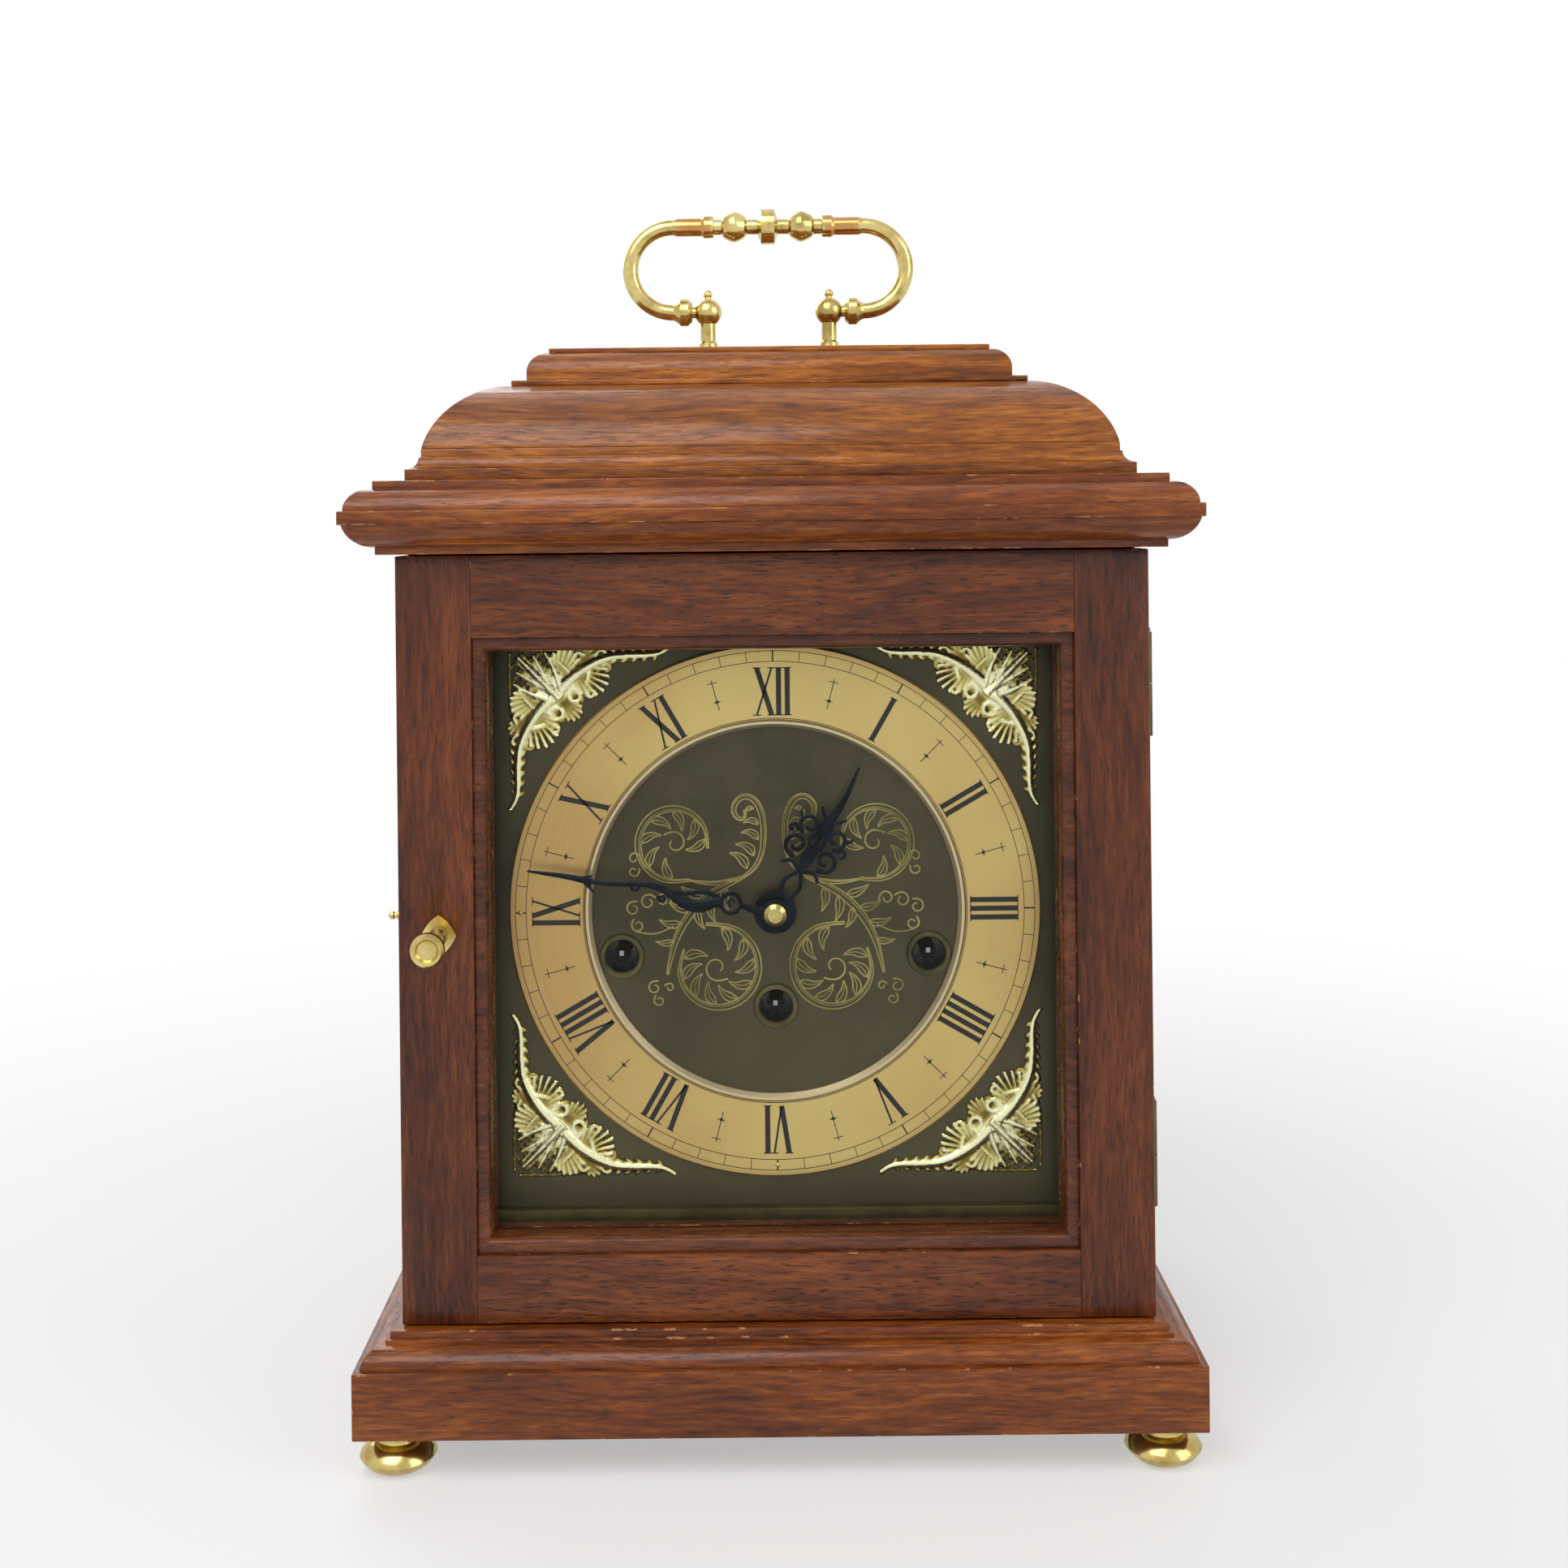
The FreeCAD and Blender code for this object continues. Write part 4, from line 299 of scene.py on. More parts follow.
def window_glass(name):
    """Thin clear glass with a breath of dust and a faint green cast."""
    finish = Finish(name)
    dust = finish.noise(finish.place(), 30.0, 4.0, 0.6)
    clear = finish.raw("BsdfTransparent", {}, {"Color": (0.97, 0.985, 0.975, 1.0)})
    gloss = finish.raw("BsdfPrincipled", {}, {"Base Color": (0.30, 0.31, 0.30, 1.0),
                                              "Roughness": 0.03 + dust * 0.05, "IOR": GLASS_IOR})
    shine = finish.node("Fresnel", {}, {"IOR": GLASS_IOR})
    return finish.ended(finish.mixed(shine * 0.22 + dust * 0.012, clear, gloss))


def dial_ground(name, middle_z):
    """The dark olive ground of the dial plate: satin, faintly grained from side to side, and a little lighter
    towards the bottom."""
    finish = Finish(name)
    x, y, z = finish.parts(finish.place())
    brushed = finish.noise(finish.vector(x * 60, y * 60, z * 3200), 1.0, 3.0, 0.6)
    cloud = finish.noise(finish.place(), 28.0, 4.0, 0.6)
    fade = (middle_z - z).smoothed(-0.02, 0.11)
    colour = finish.ramp(cloud, [(0.3, tone(64, 58, 42)), (0.7, tone(84, 76, 56))])
    colour = finish.blend(fade * 0.45, colour, tone(106, 97, 68))
    return finish.surface(Base_Color=colour, Metallic=0.75, Roughness=0.36 + brushed * 0.14,
                          Normal=finish.bump(brushed, 0.00003, 0.4))


def gilt_ring(name, middle_z):
    """Satin gilt of the chapter ring, brushed in circles, coppery towards its left and right sides, darker
    towards its inner and outer edges as painted shade, and with a pale lip round its opening as a painted
    highlight."""
    finish = Finish(name)
    x, y, z = finish.parts(finish.place())
    up = z - middle_z
    radius = (x * x + up * up).maths("SQRT")
    turned = finish.noise(finish.vector(radius * 5200, x * 26, up * 26), 1.0, 3.0, 0.6)
    cloud = finish.noise(finish.place(), 22.0, 3.0, 0.5)
    copper = (abs(x) * 9 - x * 3 + cloud * 1.1).smoothed(0.55, 1.45)
    # Painted shade: darkens the ring towards its inner and outer edges.
    rim = (abs(radius - RING_MIDDLE) / RING_HALF_WIDTH).smoothed(0.72, 1.0)
    colour = finish.blend(copper * 0.8, tone(214, 184, 116), tone(180, 130, 74))
    colour = finish.blend(rim * 0.4, colour, tone(150, 104, 54))
    colour = finish.blend(turned * 0.35, colour, tone(240, 216, 150))
    # Painted highlight: a pale band on the raised lip round the opening.
    lip = (RING_LIP - radius).smoothed(0.0, 0.6 * MM)
    colour = finish.blend(lip * 0.7, colour, tone(222, 204, 172))
    return finish.surface(Base_Color=colour, Metallic=0.85, Roughness=0.30 + turned * 0.16,
                          Normal=finish.bump(turned, 0.00004, 0.5))


def black_wax(name):
    """Black wax filling, a little uneven."""
    finish = Finish(name)
    spread = finish.noise(finish.place(), 1400.0, 3.0)
    colour = finish.ramp(spread, [(0.3, tone(14, 13, 12)), (0.7, tone(30, 27, 24))])
    return finish.surface(Base_Color=colour, Roughness=0.42 + spread * 0.2,
                          Normal=finish.bump(spread, 0.00002, 0.4))


def painted_hole_shade(name):
    """Painted shade: glossy black inside the winding holes, standing in for the shade there."""
    finish = Finish(name)
    spread = finish.noise(finish.place(), 300.0, 3.0)
    return finish.surface(Base_Color=tone(5, 5, 5), Roughness=0.22 + spread * 0.1, Coat_Weight=0.15,
                          Normal=finish.bump(spread, 0.00002, 0.2))


# Places that the finishes follow. The ring's lip is the raised edge round its opening.
PLINTH_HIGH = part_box("plinth_frame")[1]
MITRE = PLINTH_HIGH.x - PLINTH_HIGH.y
DIAL_LOW, DIAL_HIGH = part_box("chapter_ring")
DIAL_X = (DIAL_LOW.x + DIAL_HIGH.x) / 2
DIAL_Z = (DIAL_LOW.z + DIAL_HIGH.z) / 2
PLATE_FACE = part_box("dial_plate")[0].y
RING_MIDDLE = 69.7 * MM
RING_HALF_WIDTH = 12.8 * MM
RING_LIP = 59.2 * MM
HELD_FROM = 20.5 * MM
HELD_TO = 32.0 * MM

GLASS_IOR = 1.5
BRASS_DEEP = tone(166, 144, 80)
BRASS_PALE = tone(218, 198, 130)
WOOD_DARK = tone(70, 28, 8)
WOOD_MIDDLE = tone(122, 60, 18)
WOOD_LIGHT = tone(172, 98, 34)
BELL_MIDDLE = tone(142, 78, 22)
BELL_LIGHT = tone(200, 124, 46)
DOOR_DARK = tone(46, 18, 7)
DOOR_MIDDLE = tone(92, 42, 17)
DOOR_LIGHT = tone(126, 66, 28)

case_mitred = mahogany("mahogany_mitred", "mitred", WOOD_DARK, WOOD_MIDDLE, WOOD_LIGHT, MITRE,
                       pores=0.4, worn=1.0)
bell_wood = mahogany("mahogany_bell", "mitred", WOOD_DARK, BELL_MIDDLE, BELL_LIGHT, MITRE,
                     pores=0.36, seed=0.7)
cap_board = mahogany("mahogany_cap", "x", WOOD_DARK, BELL_MIDDLE, BELL_LIGHT, pores=0.36, seed=1.9)
case_upright = mahogany("mahogany_upright", "z", WOOD_DARK, tone(98, 46, 20), tone(130, 70, 30))
stile_wood = mahogany("mahogany_stile", "z", DOOR_DARK, DOOR_MIDDLE, DOOR_LIGHT, seed=1.3)
rail_wood = mahogany("mahogany_rail", "x", DOOR_DARK, tone(100, 48, 20), tone(140, 76, 32),
                     pores=0.75, seed=2.2)
bead_wood = mahogany("mahogany_bead", "x", DOOR_DARK, tone(90, 44, 21), tone(124, 68, 34),
                     worn=1.0, seed=2.9)
carcass = waxed_oak("waxed_oak", "x")
carcass_upright = waxed_oak("waxed_oak_upright", "z")
bright_brass = brass("polished_brass", BRASS_DEEP, BRASS_PALE, 0.10, spots=0.08)
cast_gilt = gilt_casting("cast_brass", PLATE_FACE)
plate_brass = brass("movement_brass", tone(188, 156, 92), tone(206, 176, 110), 0.20, spots=0.06)
bright_steel = steel("bright_steel", tone(138, 139, 142), tone(166, 167, 170), 0.2)
blued_steel = steel("blued_steel", tone(10, 12, 17), tone(26, 31, 42), 0.22)
black_iron = steel("black_iron", tone(26, 26, 28), tone(48, 48, 52), 0.45)
glass = window_glass("clear_glass")
ground = dial_ground("dial_ground", DIAL_Z)
gilt = gilt_ring("ring_gilt", DIAL_Z)
wax = black_wax("black_wax")
# Painted shade for the inside of the winding holes.
hole_shade_black = painted_hole_shade("painted_shade_black")
dull_brass = brass("dull_brass", tone(66, 60, 38), tone(104, 96, 64), 0.36)
# Near-black steel for the winding arbors: painted shade, as they sit deep in the shaded holes.
arbor_shade_steel = steel("arbor_shade_steel", tone(10, 10, 11), tone(24, 24, 26), 0.16)
gold_line = brass("engraved_line", tone(128, 116, 66), tone(176, 160, 102), 0.34)
mat_gold = brass("mat_gold", tone(90, 81, 48), tone(112, 101, 62), 0.40, spots=0.06)
handle_brass = handled_brass("handle_brass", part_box("bail_handle"))

SLOT_OF = {
    "case_wood": case_mitred, "door_wood": stile_wood, "carcass_wood": carcass,
    "polished_brass": bright_brass, "dial_brass": ground, "ring_brass": gilt, "cast_brass": cast_gilt,
    "blued_steel": blued_steel, "movement_brass": plate_brass, "movement_steel": bright_steel,
    "gong_iron": black_iron, "clear_glass": glass,
}
BODY_OF = {node: body for body, nodes in frame["record"]["behaviour"]["bodies"].items() for node in nodes}
FINISH_OF = {piece["node"]: piece["material_slot"] for piece in frame["record"]["subparts"]}


# ---------------------------------------------------------------------------
# Building pieces
# ---------------------------------------------------------------------------

SAME_POINT = 0.002 * MM
FLAT_ANGLE = math.radians(1.5)
SHARP_ANGLE = math.radians(40)


def placed(name, bm, material, body, replaced=(), smooth_angle=30.0):
    """Turn a bmesh into a piece of the clock that rides on a body."""
    mesh = bpy.data.meshes.new(name)
    bm.to_mesh(mesh)
    bm.free()
    mesh.shade_smooth()
    mesh.set_sharp_from_angle(angle=math.radians(smooth_angle))
    piece = bpy.data.objects.new(name, mesh)
    bpy.context.scene.collection.objects.link(piece)
    piece.data.materials.append(material)
    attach(piece, body)
    if replaced:
        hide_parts(*replaced)
    return piece


def joined(whole, part):
    """Add one bmesh to another."""
    mesh = bpy.data.meshes.new("part")
    part.to_mesh(mesh)
    part.free()
    whole.from_mesh(mesh)
    bpy.data.meshes.remove(mesh)


def corners_in(parts):
    """The vertices among the parts of a mesh."""
    return [part for part in parts if isinstance(part, bmesh.types.BMVert)]


def softened(node, material, width):
    """A board of the case with its sharp edges eased, as its CAD solid otherwise. The
    eased edges carry the attribute that the finish wears through."""
    bm = bmesh.new()
    bm.from_mesh(frame["nodes"][node].data)
    layer = bm.faces.layers.float.new("worn")
    bmesh.ops.remove_doubles(bm, verts=bm.verts, dist=SAME_POINT)
    bmesh.ops.dissolve_limit(bm, angle_limit=FLAT_ANGLE, verts=bm.verts, edges=bm.edges)
    sharp = [edge for edge in bm.edges if len(edge.link_faces) == 2 and edge.is_convex
             and edge.calc_face_angle(0.0) > SHARP_ANGLE]
    bevelled = bmesh.ops.bevel(bm, geom=sharp, offset=width, offset_type="OFFSET", segments=2, profile=0.5,
                               affect="EDGES", clamp_overlap=True, material=-1)
    for face in bevelled["faces"]:
        face[layer] = 1.0
    bmesh.ops.triangulate(bm, faces=bm.faces)
    return placed(node + "_eased", bm, material, BODY_OF[node], (node,), 22.0)


WINDING_ARBORS = ("strike_winding_arbor", "going_winding_arbor", "chime_winding_arbor")


def finish_solids():
    """Give every CAD solid its finish, and the boards that show their eased edges."""
    for node, slot in FINISH_OF.items():
        carried = frame["nodes"][node]
        carried.data.materials.clear()
        carried.data.materials.append(SLOT_OF[slot])
        carried.data.shade_smooth()
    small_work = {node: dull_brass for node in FINISH_OF if "hinge" in node}
    # The winding arbors get painted shade: near-black steel.
    small_work.update({arbor: arbor_shade_steel for arbor in WINDING_ARBORS})
    small_work.update(winding_bushes=dull_brass, bail_handle=handle_brass, centre_arbor=bright_brass)
    for node, finish in small_work.items():
        frame["nodes"][node].data.materials[0] = finish
    boards = {
        "plinth_frame": (case_mitred, 0.5), "cornice_moulding": (case_mitred, 0.35),
        "bell_step_moulding": (bell_wood, 0.3), "bell_dome": (bell_wood, 0.4),
        "cap_moulding": (bell_wood, 0.3), "cap_plate": (cap_board, 0.3),
        "side_left": (case_upright, 0.4), "side_right": (case_upright, 0.4),
        "door_stile_left": (stile_wood, 0.35), "door_stile_right": (stile_wood, 0.35),
        "door_rail_top": (rail_wood, 0.25), "door_rail_bottom": (rail_wood, 0.25),
        "glazing_bead": (bead_wood, 0.25), "back_door_frame": (carcass_upright, 0.4),
        "back_rails": (carcass, 0.3), "dial_mat": (mat_gold, 0.2), "glass_retainer": (bead_wood, 0.2),
        "seat_board": (carcass, 0.4), "seat_blocks": (carcass, 0.4), "top_board": (carcass, 0.3),
        "bottom_board": (carcass, 0.3),
    }
    for node, (material, width) in boards.items():
        softened(node, material, width * MM)


# ---------------------------------------------------------------------------
# Dial work. Plans are in millimetres from the middle of the dial, x to the right and
# y up, and heights stand out of the dial's face.
# ---------------------------------------------------------------------------

LIP_HEIGHT = 0.6 * MM
RING_FACE = DIAL_LOW.y + LIP_HEIGHT
PLATE_BACK = PLATE_FACE + 1.2 * MM
HOUR_TURN = 31.5
MINUTE_TURN = 280.5

# The chapter ring's markings, as distances in from its outer edge, and how far the
# fine ones stand up.
NUMERAL_FEET = 22.0
NUMERAL_HEADS = 7.4
MARK_FOOT = 18.2
MARK_LOWER_BAR = 15.6
MARK_UPPER_BAR = 9.6
MARK_HEAD = 8.6
LADDER_FOOT = 5.4
LADDER_HEAD = 2.1
INNER_LINE = 23.0
PIN_INSET = 3.7
FINE_HEIGHT = 0.04

# How far an engraved leaf's edges bow out along it, as shares of its width.
LEAF_SWELL = (0.95, 1.0, 0.7, 0.35)

# The mesh size of the castings, and the black tubes of painted shade behind the winding holes.
CAST_VOXEL = 0.30
WELL_RADIUS = 4.9 * MM
WELL_DEPTH = 8.0 * MM
WELL_THROAT = 0.62


def on_dial(face, turn=0.0):
    """From a plan in millimetres to its place in front of the dial, turned clockwise."""
    upright = Matrix(((1, 0, 0, DIAL_X), (0, 0, -1, face), (0, 1, 0, DIAL_Z), (0, 0, 0, 1)))
    return upright @ Matrix.Rotation(math.radians(-turn), 4, "Z") @ Matrix.Scale(MM, 4)


def bar(bm, start, end, width, height):
    """One straight bar of a numeral or mark."""
    start, end = Vector(start), Vector(end)
    run = end - start
    middle = (start + end) / 2
    place = (Matrix.Translation((middle.x, middle.y, 0))
             @ Matrix.Rotation(math.atan2(run.y, run.x), 4, "Z")
             @ Matrix.Diagonal((run.length, width, height, 1)))
    bmesh.ops.create_cube(bm, size=1.0, matrix=place)


def hoop(bm, radius, width, height):
    """One thin ring line, spun from its square section."""
    section = bmesh.ops.create_circle(bm, cap_ends=True, radius=0.7071, segments=4,
                                      matrix=Matrix.Rotation(math.radians(45), 4, "Z"))["verts"]
    bmesh.ops.transform(bm, verts=section, matrix=Matrix.Translation((radius, 0, 0))
                        @ Matrix.Rotation(math.radians(90), 4, "X") @ Matrix.Diagonal((width, height, 1, 1)))
    edges = list({edge for vert in section for edge in vert.link_edges})
    faces = list({face for vert in section for face in vert.link_faces})
    bmesh.ops.delete(bm, geom=faces, context="FACES_ONLY")
    bmesh.ops.spin(bm, geom=section + edges, cent=(0, 0, 0), axis=(0, 0, 1), angle=math.tau, steps=180,
                   use_merge=True)


def numeral(bm, letters, low, high):
    """A Roman numeral of thick and thin strokes with fine serifs, its feet at low."""
    advance = {"I": 2.7, "V": 6.0, "X": 6.2}
    thick, thin, fine, raised = 1.6, 0.62, 0.32, 0.05
    lean, serif = 2.3, 1.3
    at = -sum(advance[letter] for letter in letters) / 2
    for letter in letters:
        middle = at + advance[letter] / 2
        at += advance[letter]
        if letter == "I":
            strokes = [(middle, middle, thick)]
        elif letter == "V":
            strokes = [(middle, middle - lean, thick), (middle, middle + lean, thin)]
        else:
            strokes = [(middle + lean, middle - lean, thick), (middle - lean, middle + lean, thin)]
        for foot, head, width in strokes:
            bar(bm, (foot, low), (head, high), width, raised)
            bar(bm, (head - serif, high), (head + serif, high), fine, raised)
            if letter != "V":
                bar(bm, (foot - serif, low), (foot + serif, low), fine, raised)


def half_hour_mark(outer):
    """A thin upright with two cross lines and a small block, at the top of the ring."""
    mark = bmesh.new()
    bar(mark, (0, outer - MARK_FOOT), (0, outer - MARK_HEAD), 0.26, FINE_HEIGHT)
    bar(mark, (-1.5, outer - MARK_UPPER_BAR), (1.5, outer - MARK_UPPER_BAR), 0.24, FINE_HEIGHT)
    bar(mark, (-1.2, outer - MARK_LOWER_BAR), (1.2, outer - MARK_LOWER_BAR), 0.24, FINE_HEIGHT)
    bar(mark, (-0.5, outer - MARK_LOWER_BAR), (0.5, outer - MARK_LOWER_BAR), 0.9, 0.045)
    return mark


def spun(bm, turn):
    """Turn a mark clockwise round the middle of the dial."""
    bmesh.ops.transform(bm, verts=bm.verts, matrix=Matrix.Rotation(math.radians(-turn), 4, "Z"))
    return bm


def way_out(turn):
    """The way from the middle of the dial at a turn clockwise from its top."""
    return Vector((math.sin(math.radians(turn)), math.cos(math.radians(turn))))


def ring_markings():
    """Numerals, half hour marks and the minute ladder, filled with black wax, and the
    two pins that hold the ring."""
    outer = (DIAL_HIGH.x - DIAL_LOW.x) / 2 / MM
    bold = bmesh.new()
    fine = bmesh.new()
    numerals = ("XII", "I", "II", "III", "IIII", "V", "VI", "VII", "VIII", "IX", "X", "XI")
    for hour, letters in enumerate(numerals):
        glyph = bmesh.new()
        numeral(glyph, letters, outer - NUMERAL_FEET, outer - NUMERAL_HEADS)
        joined(bold, spun(glyph, 30 * hour))
        joined(fine, spun(half_hour_mark(outer), 30 * hour + 15))
    for minute in range(60):
        out = way_out(6 * minute)
        width = 0.45 if minute % 5 == 0 else 0.2
        bar(fine, out * (outer - LADDER_FOOT), out * (outer - LADDER_HEAD), width, FINE_HEIGHT)
    for inset, width in ((LADDER_HEAD, 0.2), (LADDER_FOOT, 0.2), (INNER_LINE, 0.22)):
        hoop(fine, outer - inset, width, FINE_HEIGHT)
    bmesh.ops.recalc_face_normals(fine, faces=fine.faces)
    for name, bm, lift in (("numerals", bold, 0.03), ("ring_tracks", fine, 0.025)):
        bmesh.ops.transform(bm, verts=bm.verts, matrix=on_dial(RING_FACE - lift * MM))
        placed(name, bm, wax, "case")
    pins = bmesh.new()
    for hour in (6, 9):
        spot = way_out(30 * hour).to_3d() * (outer - PIN_INSET)
        dome = bmesh.ops.create_uvsphere(pins, u_segments=20, v_segments=10, radius=0.75)["verts"]
        bmesh.ops.transform(pins, verts=dome, matrix=(
            Matrix.Translation(spot) @ Matrix.Diagonal((1, 1, 0.6, 1))))
    bmesh.ops.transform(pins, verts=pins.verts, matrix=on_dial(RING_FACE))
    placed("ring_pins", pins, gilt, "case")


def drawn(lines, flat=1.0, sides=3, steps=4):
    """Rods along smooth lines of (x, y, radius), flattened towards the dial."""
    curve = bpy.data.curves.new("lines", "CURVE")
    curve.dimensions = "3D"
    curve.bevel_depth = 1.0
    curve.bevel_resolution = sides
    curve.use_fill_caps = True
    for line in lines:
        spline = curve.splines.new("NURBS")
        spline.points.add(len(line) - 1)
        for point, (x, y, radius) in zip(spline.points, line):
            point.co = (x, y, 0, 1)
            point.radius = radius
        spline.order_u = 3
        spline.use_endpoint_u = True
        spline.resolution_u = steps
    holder = bpy.data.objects.new("lines", curve)
    mesh = bpy.data.meshes.new_from_object(holder)
    bm = bmesh.new()
    bm.from_mesh(mesh)
    bpy.data.objects.remove(holder)
    bpy.data.curves.remove(curve)
    bpy.data.meshes.remove(mesh)
    bmesh.ops.remove_doubles(bm, verts=bm.verts, dist=1e-4)
    bmesh.ops.recalc_face_normals(bm, faces=bm.faces)
    bmesh.ops.scale(bm, vec=(1, 1, flat), verts=bm.verts)
    return bm


def scroll(x, y, wide, tight, start, turns, thick, thin):
    """A line that winds in round a place, from one radius to another."""
    count = max(4, int(abs(turns) * 9))
    line = []
    for step in range(count + 1):
        share = step / count
        angle = math.radians(start + 360 * turns * share)
        radius = wide + (tight - wide) * share
        line.append((x + radius * math.cos(angle), y + radius * math.sin(angle),
                     thick + (thin - thick) * share))
    return line


def bead(x, y, size):
    """A round grain, as a very short rod."""
    return [(x - 0.05, y, size), (x + 0.05, y, size)]


def thinned(line, thick, thin):
    """A line of (x, y) that tapers from thick to thin."""
    last = len(line) - 1
    return [(x, y, thick + (thin - thick) * number / last) for number, (x, y) in enumerate(line)]


def leaf(x, y, angle, length, curl, thick):
    """A leaf that springs from a place and curls to one side."""
    line = []
    for step in range(6):
        share = step / 5
        bend = math.radians(angle + curl * share)
        line.append((x, y, thick * (0.55 + 1.2 * share * (1 - share) * 2) * (1 - 0.5 * share)))
        x += math.cos(bend) * length / 5
        y += math.sin(bend) * length / 5
    return line


def mirrored(lines, left=True):
    """The same lines on the other side of the upright, or of the diagonal."""
    if left:
        return [[(-x, y, radius) for x, y, radius in line] for line in lines]
    return [[(y, x, radius) for x, y, radius in line] for line in lines]


def beside(line, width):
    """The line moved sideways, swelling from nothing at its ends to a width."""
    moved = []
    last = len(line) - 1
    for number, (x, y) in enumerate(line):
        before, after = Vector(line[max(number - 1, 0)]), Vector(line[min(number + 1, last)])
        run = (after - before).normalized()
        swell = width * math.sin(math.pi * (0.12 + 0.80 * number / last))
        moved.append((x - run.y * swell, y + run.x * swell))
    return moved


def band(line, width, cut):
    """An engraved stem: two edges and a finer line between them."""
    return [thinned(beside(line, width / 2), cut, cut), thinned(beside(line, -width / 2), cut, cut),
            thinned(beside(line, width / 7), cut * 0.6, cut * 0.6)]


def engraved_leaf(x, y, angle, length, curl, width, cut):
    """An engraved leaf: two bowed edges that meet at its curled tip, and a vein."""
    spine = []
    for step in range(6):
        bend = math.radians(angle + curl * step / 5)
        spine.append((x, y))
        x += math.cos(bend) * length / 5
        y += math.sin(bend) * length / 5
    edges = []
    for side in (1, -1):
        edge = [Vector(spot) for spot in spine]
        for number, swell in enumerate(LEAF_SWELL, 1):
            run = (edge[number + 1] - Vector(spine[number - 1])).normalized()
            edge[number] = Vector(spine[number]) + Vector((-run.y, run.x)) * side * width * swell
        edges.append(thinned([tuple(spot) for spot in edge], cut, cut))
    return edges + [thinned(spine[:5], cut * 0.9, cut * 0.5)]


def leafy_round(x, y, radius, start, end, leaves, length, cut):
    """A round scroll: its band, and engraved leaves that turn in from it."""
    ring = []
    for step in range(13):
        angle = math.radians(start + (end - start) * step / 12)
        reach = radius * (1 - 0.16 * step / 12)
        ring.append((x + reach * math.cos(angle), y + reach * math.sin(angle)))
    lines = band(ring, 1.9, cut)
    way = 1 if end > start else -1
    for number in range(leaves):
        share = (number + 0.6) / leaves
        angle = start + (end - start) * share
        turn = math.radians(angle)
        reach = radius * (0.90 - 0.15 * share)
        lines += engraved_leaf(x + reach * math.cos(turn), y + reach * math.sin(turn),
                               angle + way * 128, length, way * 78, length * 0.17, cut)
    return lines + [scroll(x, y, radius * 0.34, radius * 0.10, start + 150, way, cut * 1.5, cut)]


def engraving():
    """Engraved scrolls in the middle of the dial: on each side a high comma, a round
    scroll above and one below, with the stem, sprays and small curls between them."""
    cut = 0.2
    comma = [(12.5, 8.6), (7.6, 11.0), (4.2, 16.0), (3.2, 22.0), (3.5, 29.0), (5.6, 34.0), (9.2, 35.6),
             (12.4, 33.2), (12.7, 29.6), (10.4, 27.6), (8.6, 29.0), (9.3, 31.0)]
    comma_leaves = [(8.6, 12.6, 75, 8.0, -80), (6.4, 16.6, 70, 7.6, -95), (5.0, 21.6, 62, 6.6, -100),
                    (4.9, 26.4, 45, 5.4, -100), (6.4, 31.4, 10, 3.6, -100)]
    stem = [(10.4, 9.6), (16.0, 7.4), (21.5, 4.0), (26.0, -0.6), (29.6, -6.0), (32.2, -12.5), (33.6, -20.0)]
    stem_leaves = [(22.0, 4.4, 5, 8.0, 45), (26.0, 0.4, -5, 7.5, 55), (29.0, -4.0, -15, 7.5, 60),
                   (15.0, 6.8, -70, 8.0, -60), (19.6, 4.2, -75, 8.5, -55), (24.0, 0.4, -85, 7.0, -60),
                   (31.4, -9.6, -20, 6.0, 50)]
    curls = [(34.6, 3.2, 2.6, 200, -1.1), (39.4, 2.6, 2.8, 150, -1.1), (44.0, 0.6, 2.6, 120, -1.1),
             (42.6, -4.6, 2.4, 60, -1.1), (43.6, 16.2, 2.2, 200, -1.0), (43.8, 12.2, 2.0, 150, 1.0),
             (37.6, -24.0, 2.4, 120, -1.1), (36.2, -28.0, 2.0, 60, -1.1), (33.0, -24.0, 1.6, 20, 1.0)]
    lines = band(comma, 1.7, cut)
    for x, y, angle, length, curl in comma_leaves:
        lines += engraved_leaf(x, y, angle, length, curl, length * 0.17, cut)
    lines += leafy_round(31.0, 20.8, 12.4, -112, 190, 7, 7.4, cut)
    lines += band([(9.0, 10.4), (14.5, 8.6), (21.0, 8.0), (26.6, 9.2)], 1.2, cut)
    lines += leafy_round(18.2, -18.0, 14.0, 76, 390, 9, 8.0, cut)
    lines += band(stem, 2.2, cut)
    for x, y, angle, length, curl in stem_leaves:
        lines += engraved_leaf(x, y, angle, length, curl, length * 0.16, cut)
    for x, y, first, start, turns in curls:
        lines.append(scroll(x, y, first, first * 0.35, start, turns, cut * 1.4, cut))
    lines += [thinned([(31.5, -5.0), (36.0, -7.2), (40.0, -7.4), (43.4, -6.4)], cut, cut),
              thinned([(39.6, 13.0), (41.4, 14.6), (42.0, 17.0)], cut, cut)]
    bm = drawn(lines + mirrored(lines), 0.12, 1, 3)
    bmesh.ops.transform(bm, verts=bm.verts, matrix=on_dial(PLATE_FACE))
    placed("dial_engraving", bm, gold_line, "case", smooth_angle=60.0)


def fan(root, middle, size, first, last, ribs, thick):
    """Ribs of a shell from its root to a beaded rim."""
    lines = []
    for number in range(ribs):
        angle = math.radians(first + (last - first) * number / (ribs - 1))
        tip = (middle[0] + size * math.cos(angle), middle[1] + size * math.sin(angle))
        half = ((root[0] + tip[0]) / 2, (root[1] + tip[1]) / 2)
        lines.append([root + (thick * 0.4,), half + (thick * 0.62,), tip + (thick,)])
        lines.append(bead(tip[0], tip[1], thick * 1.15))
    return lines


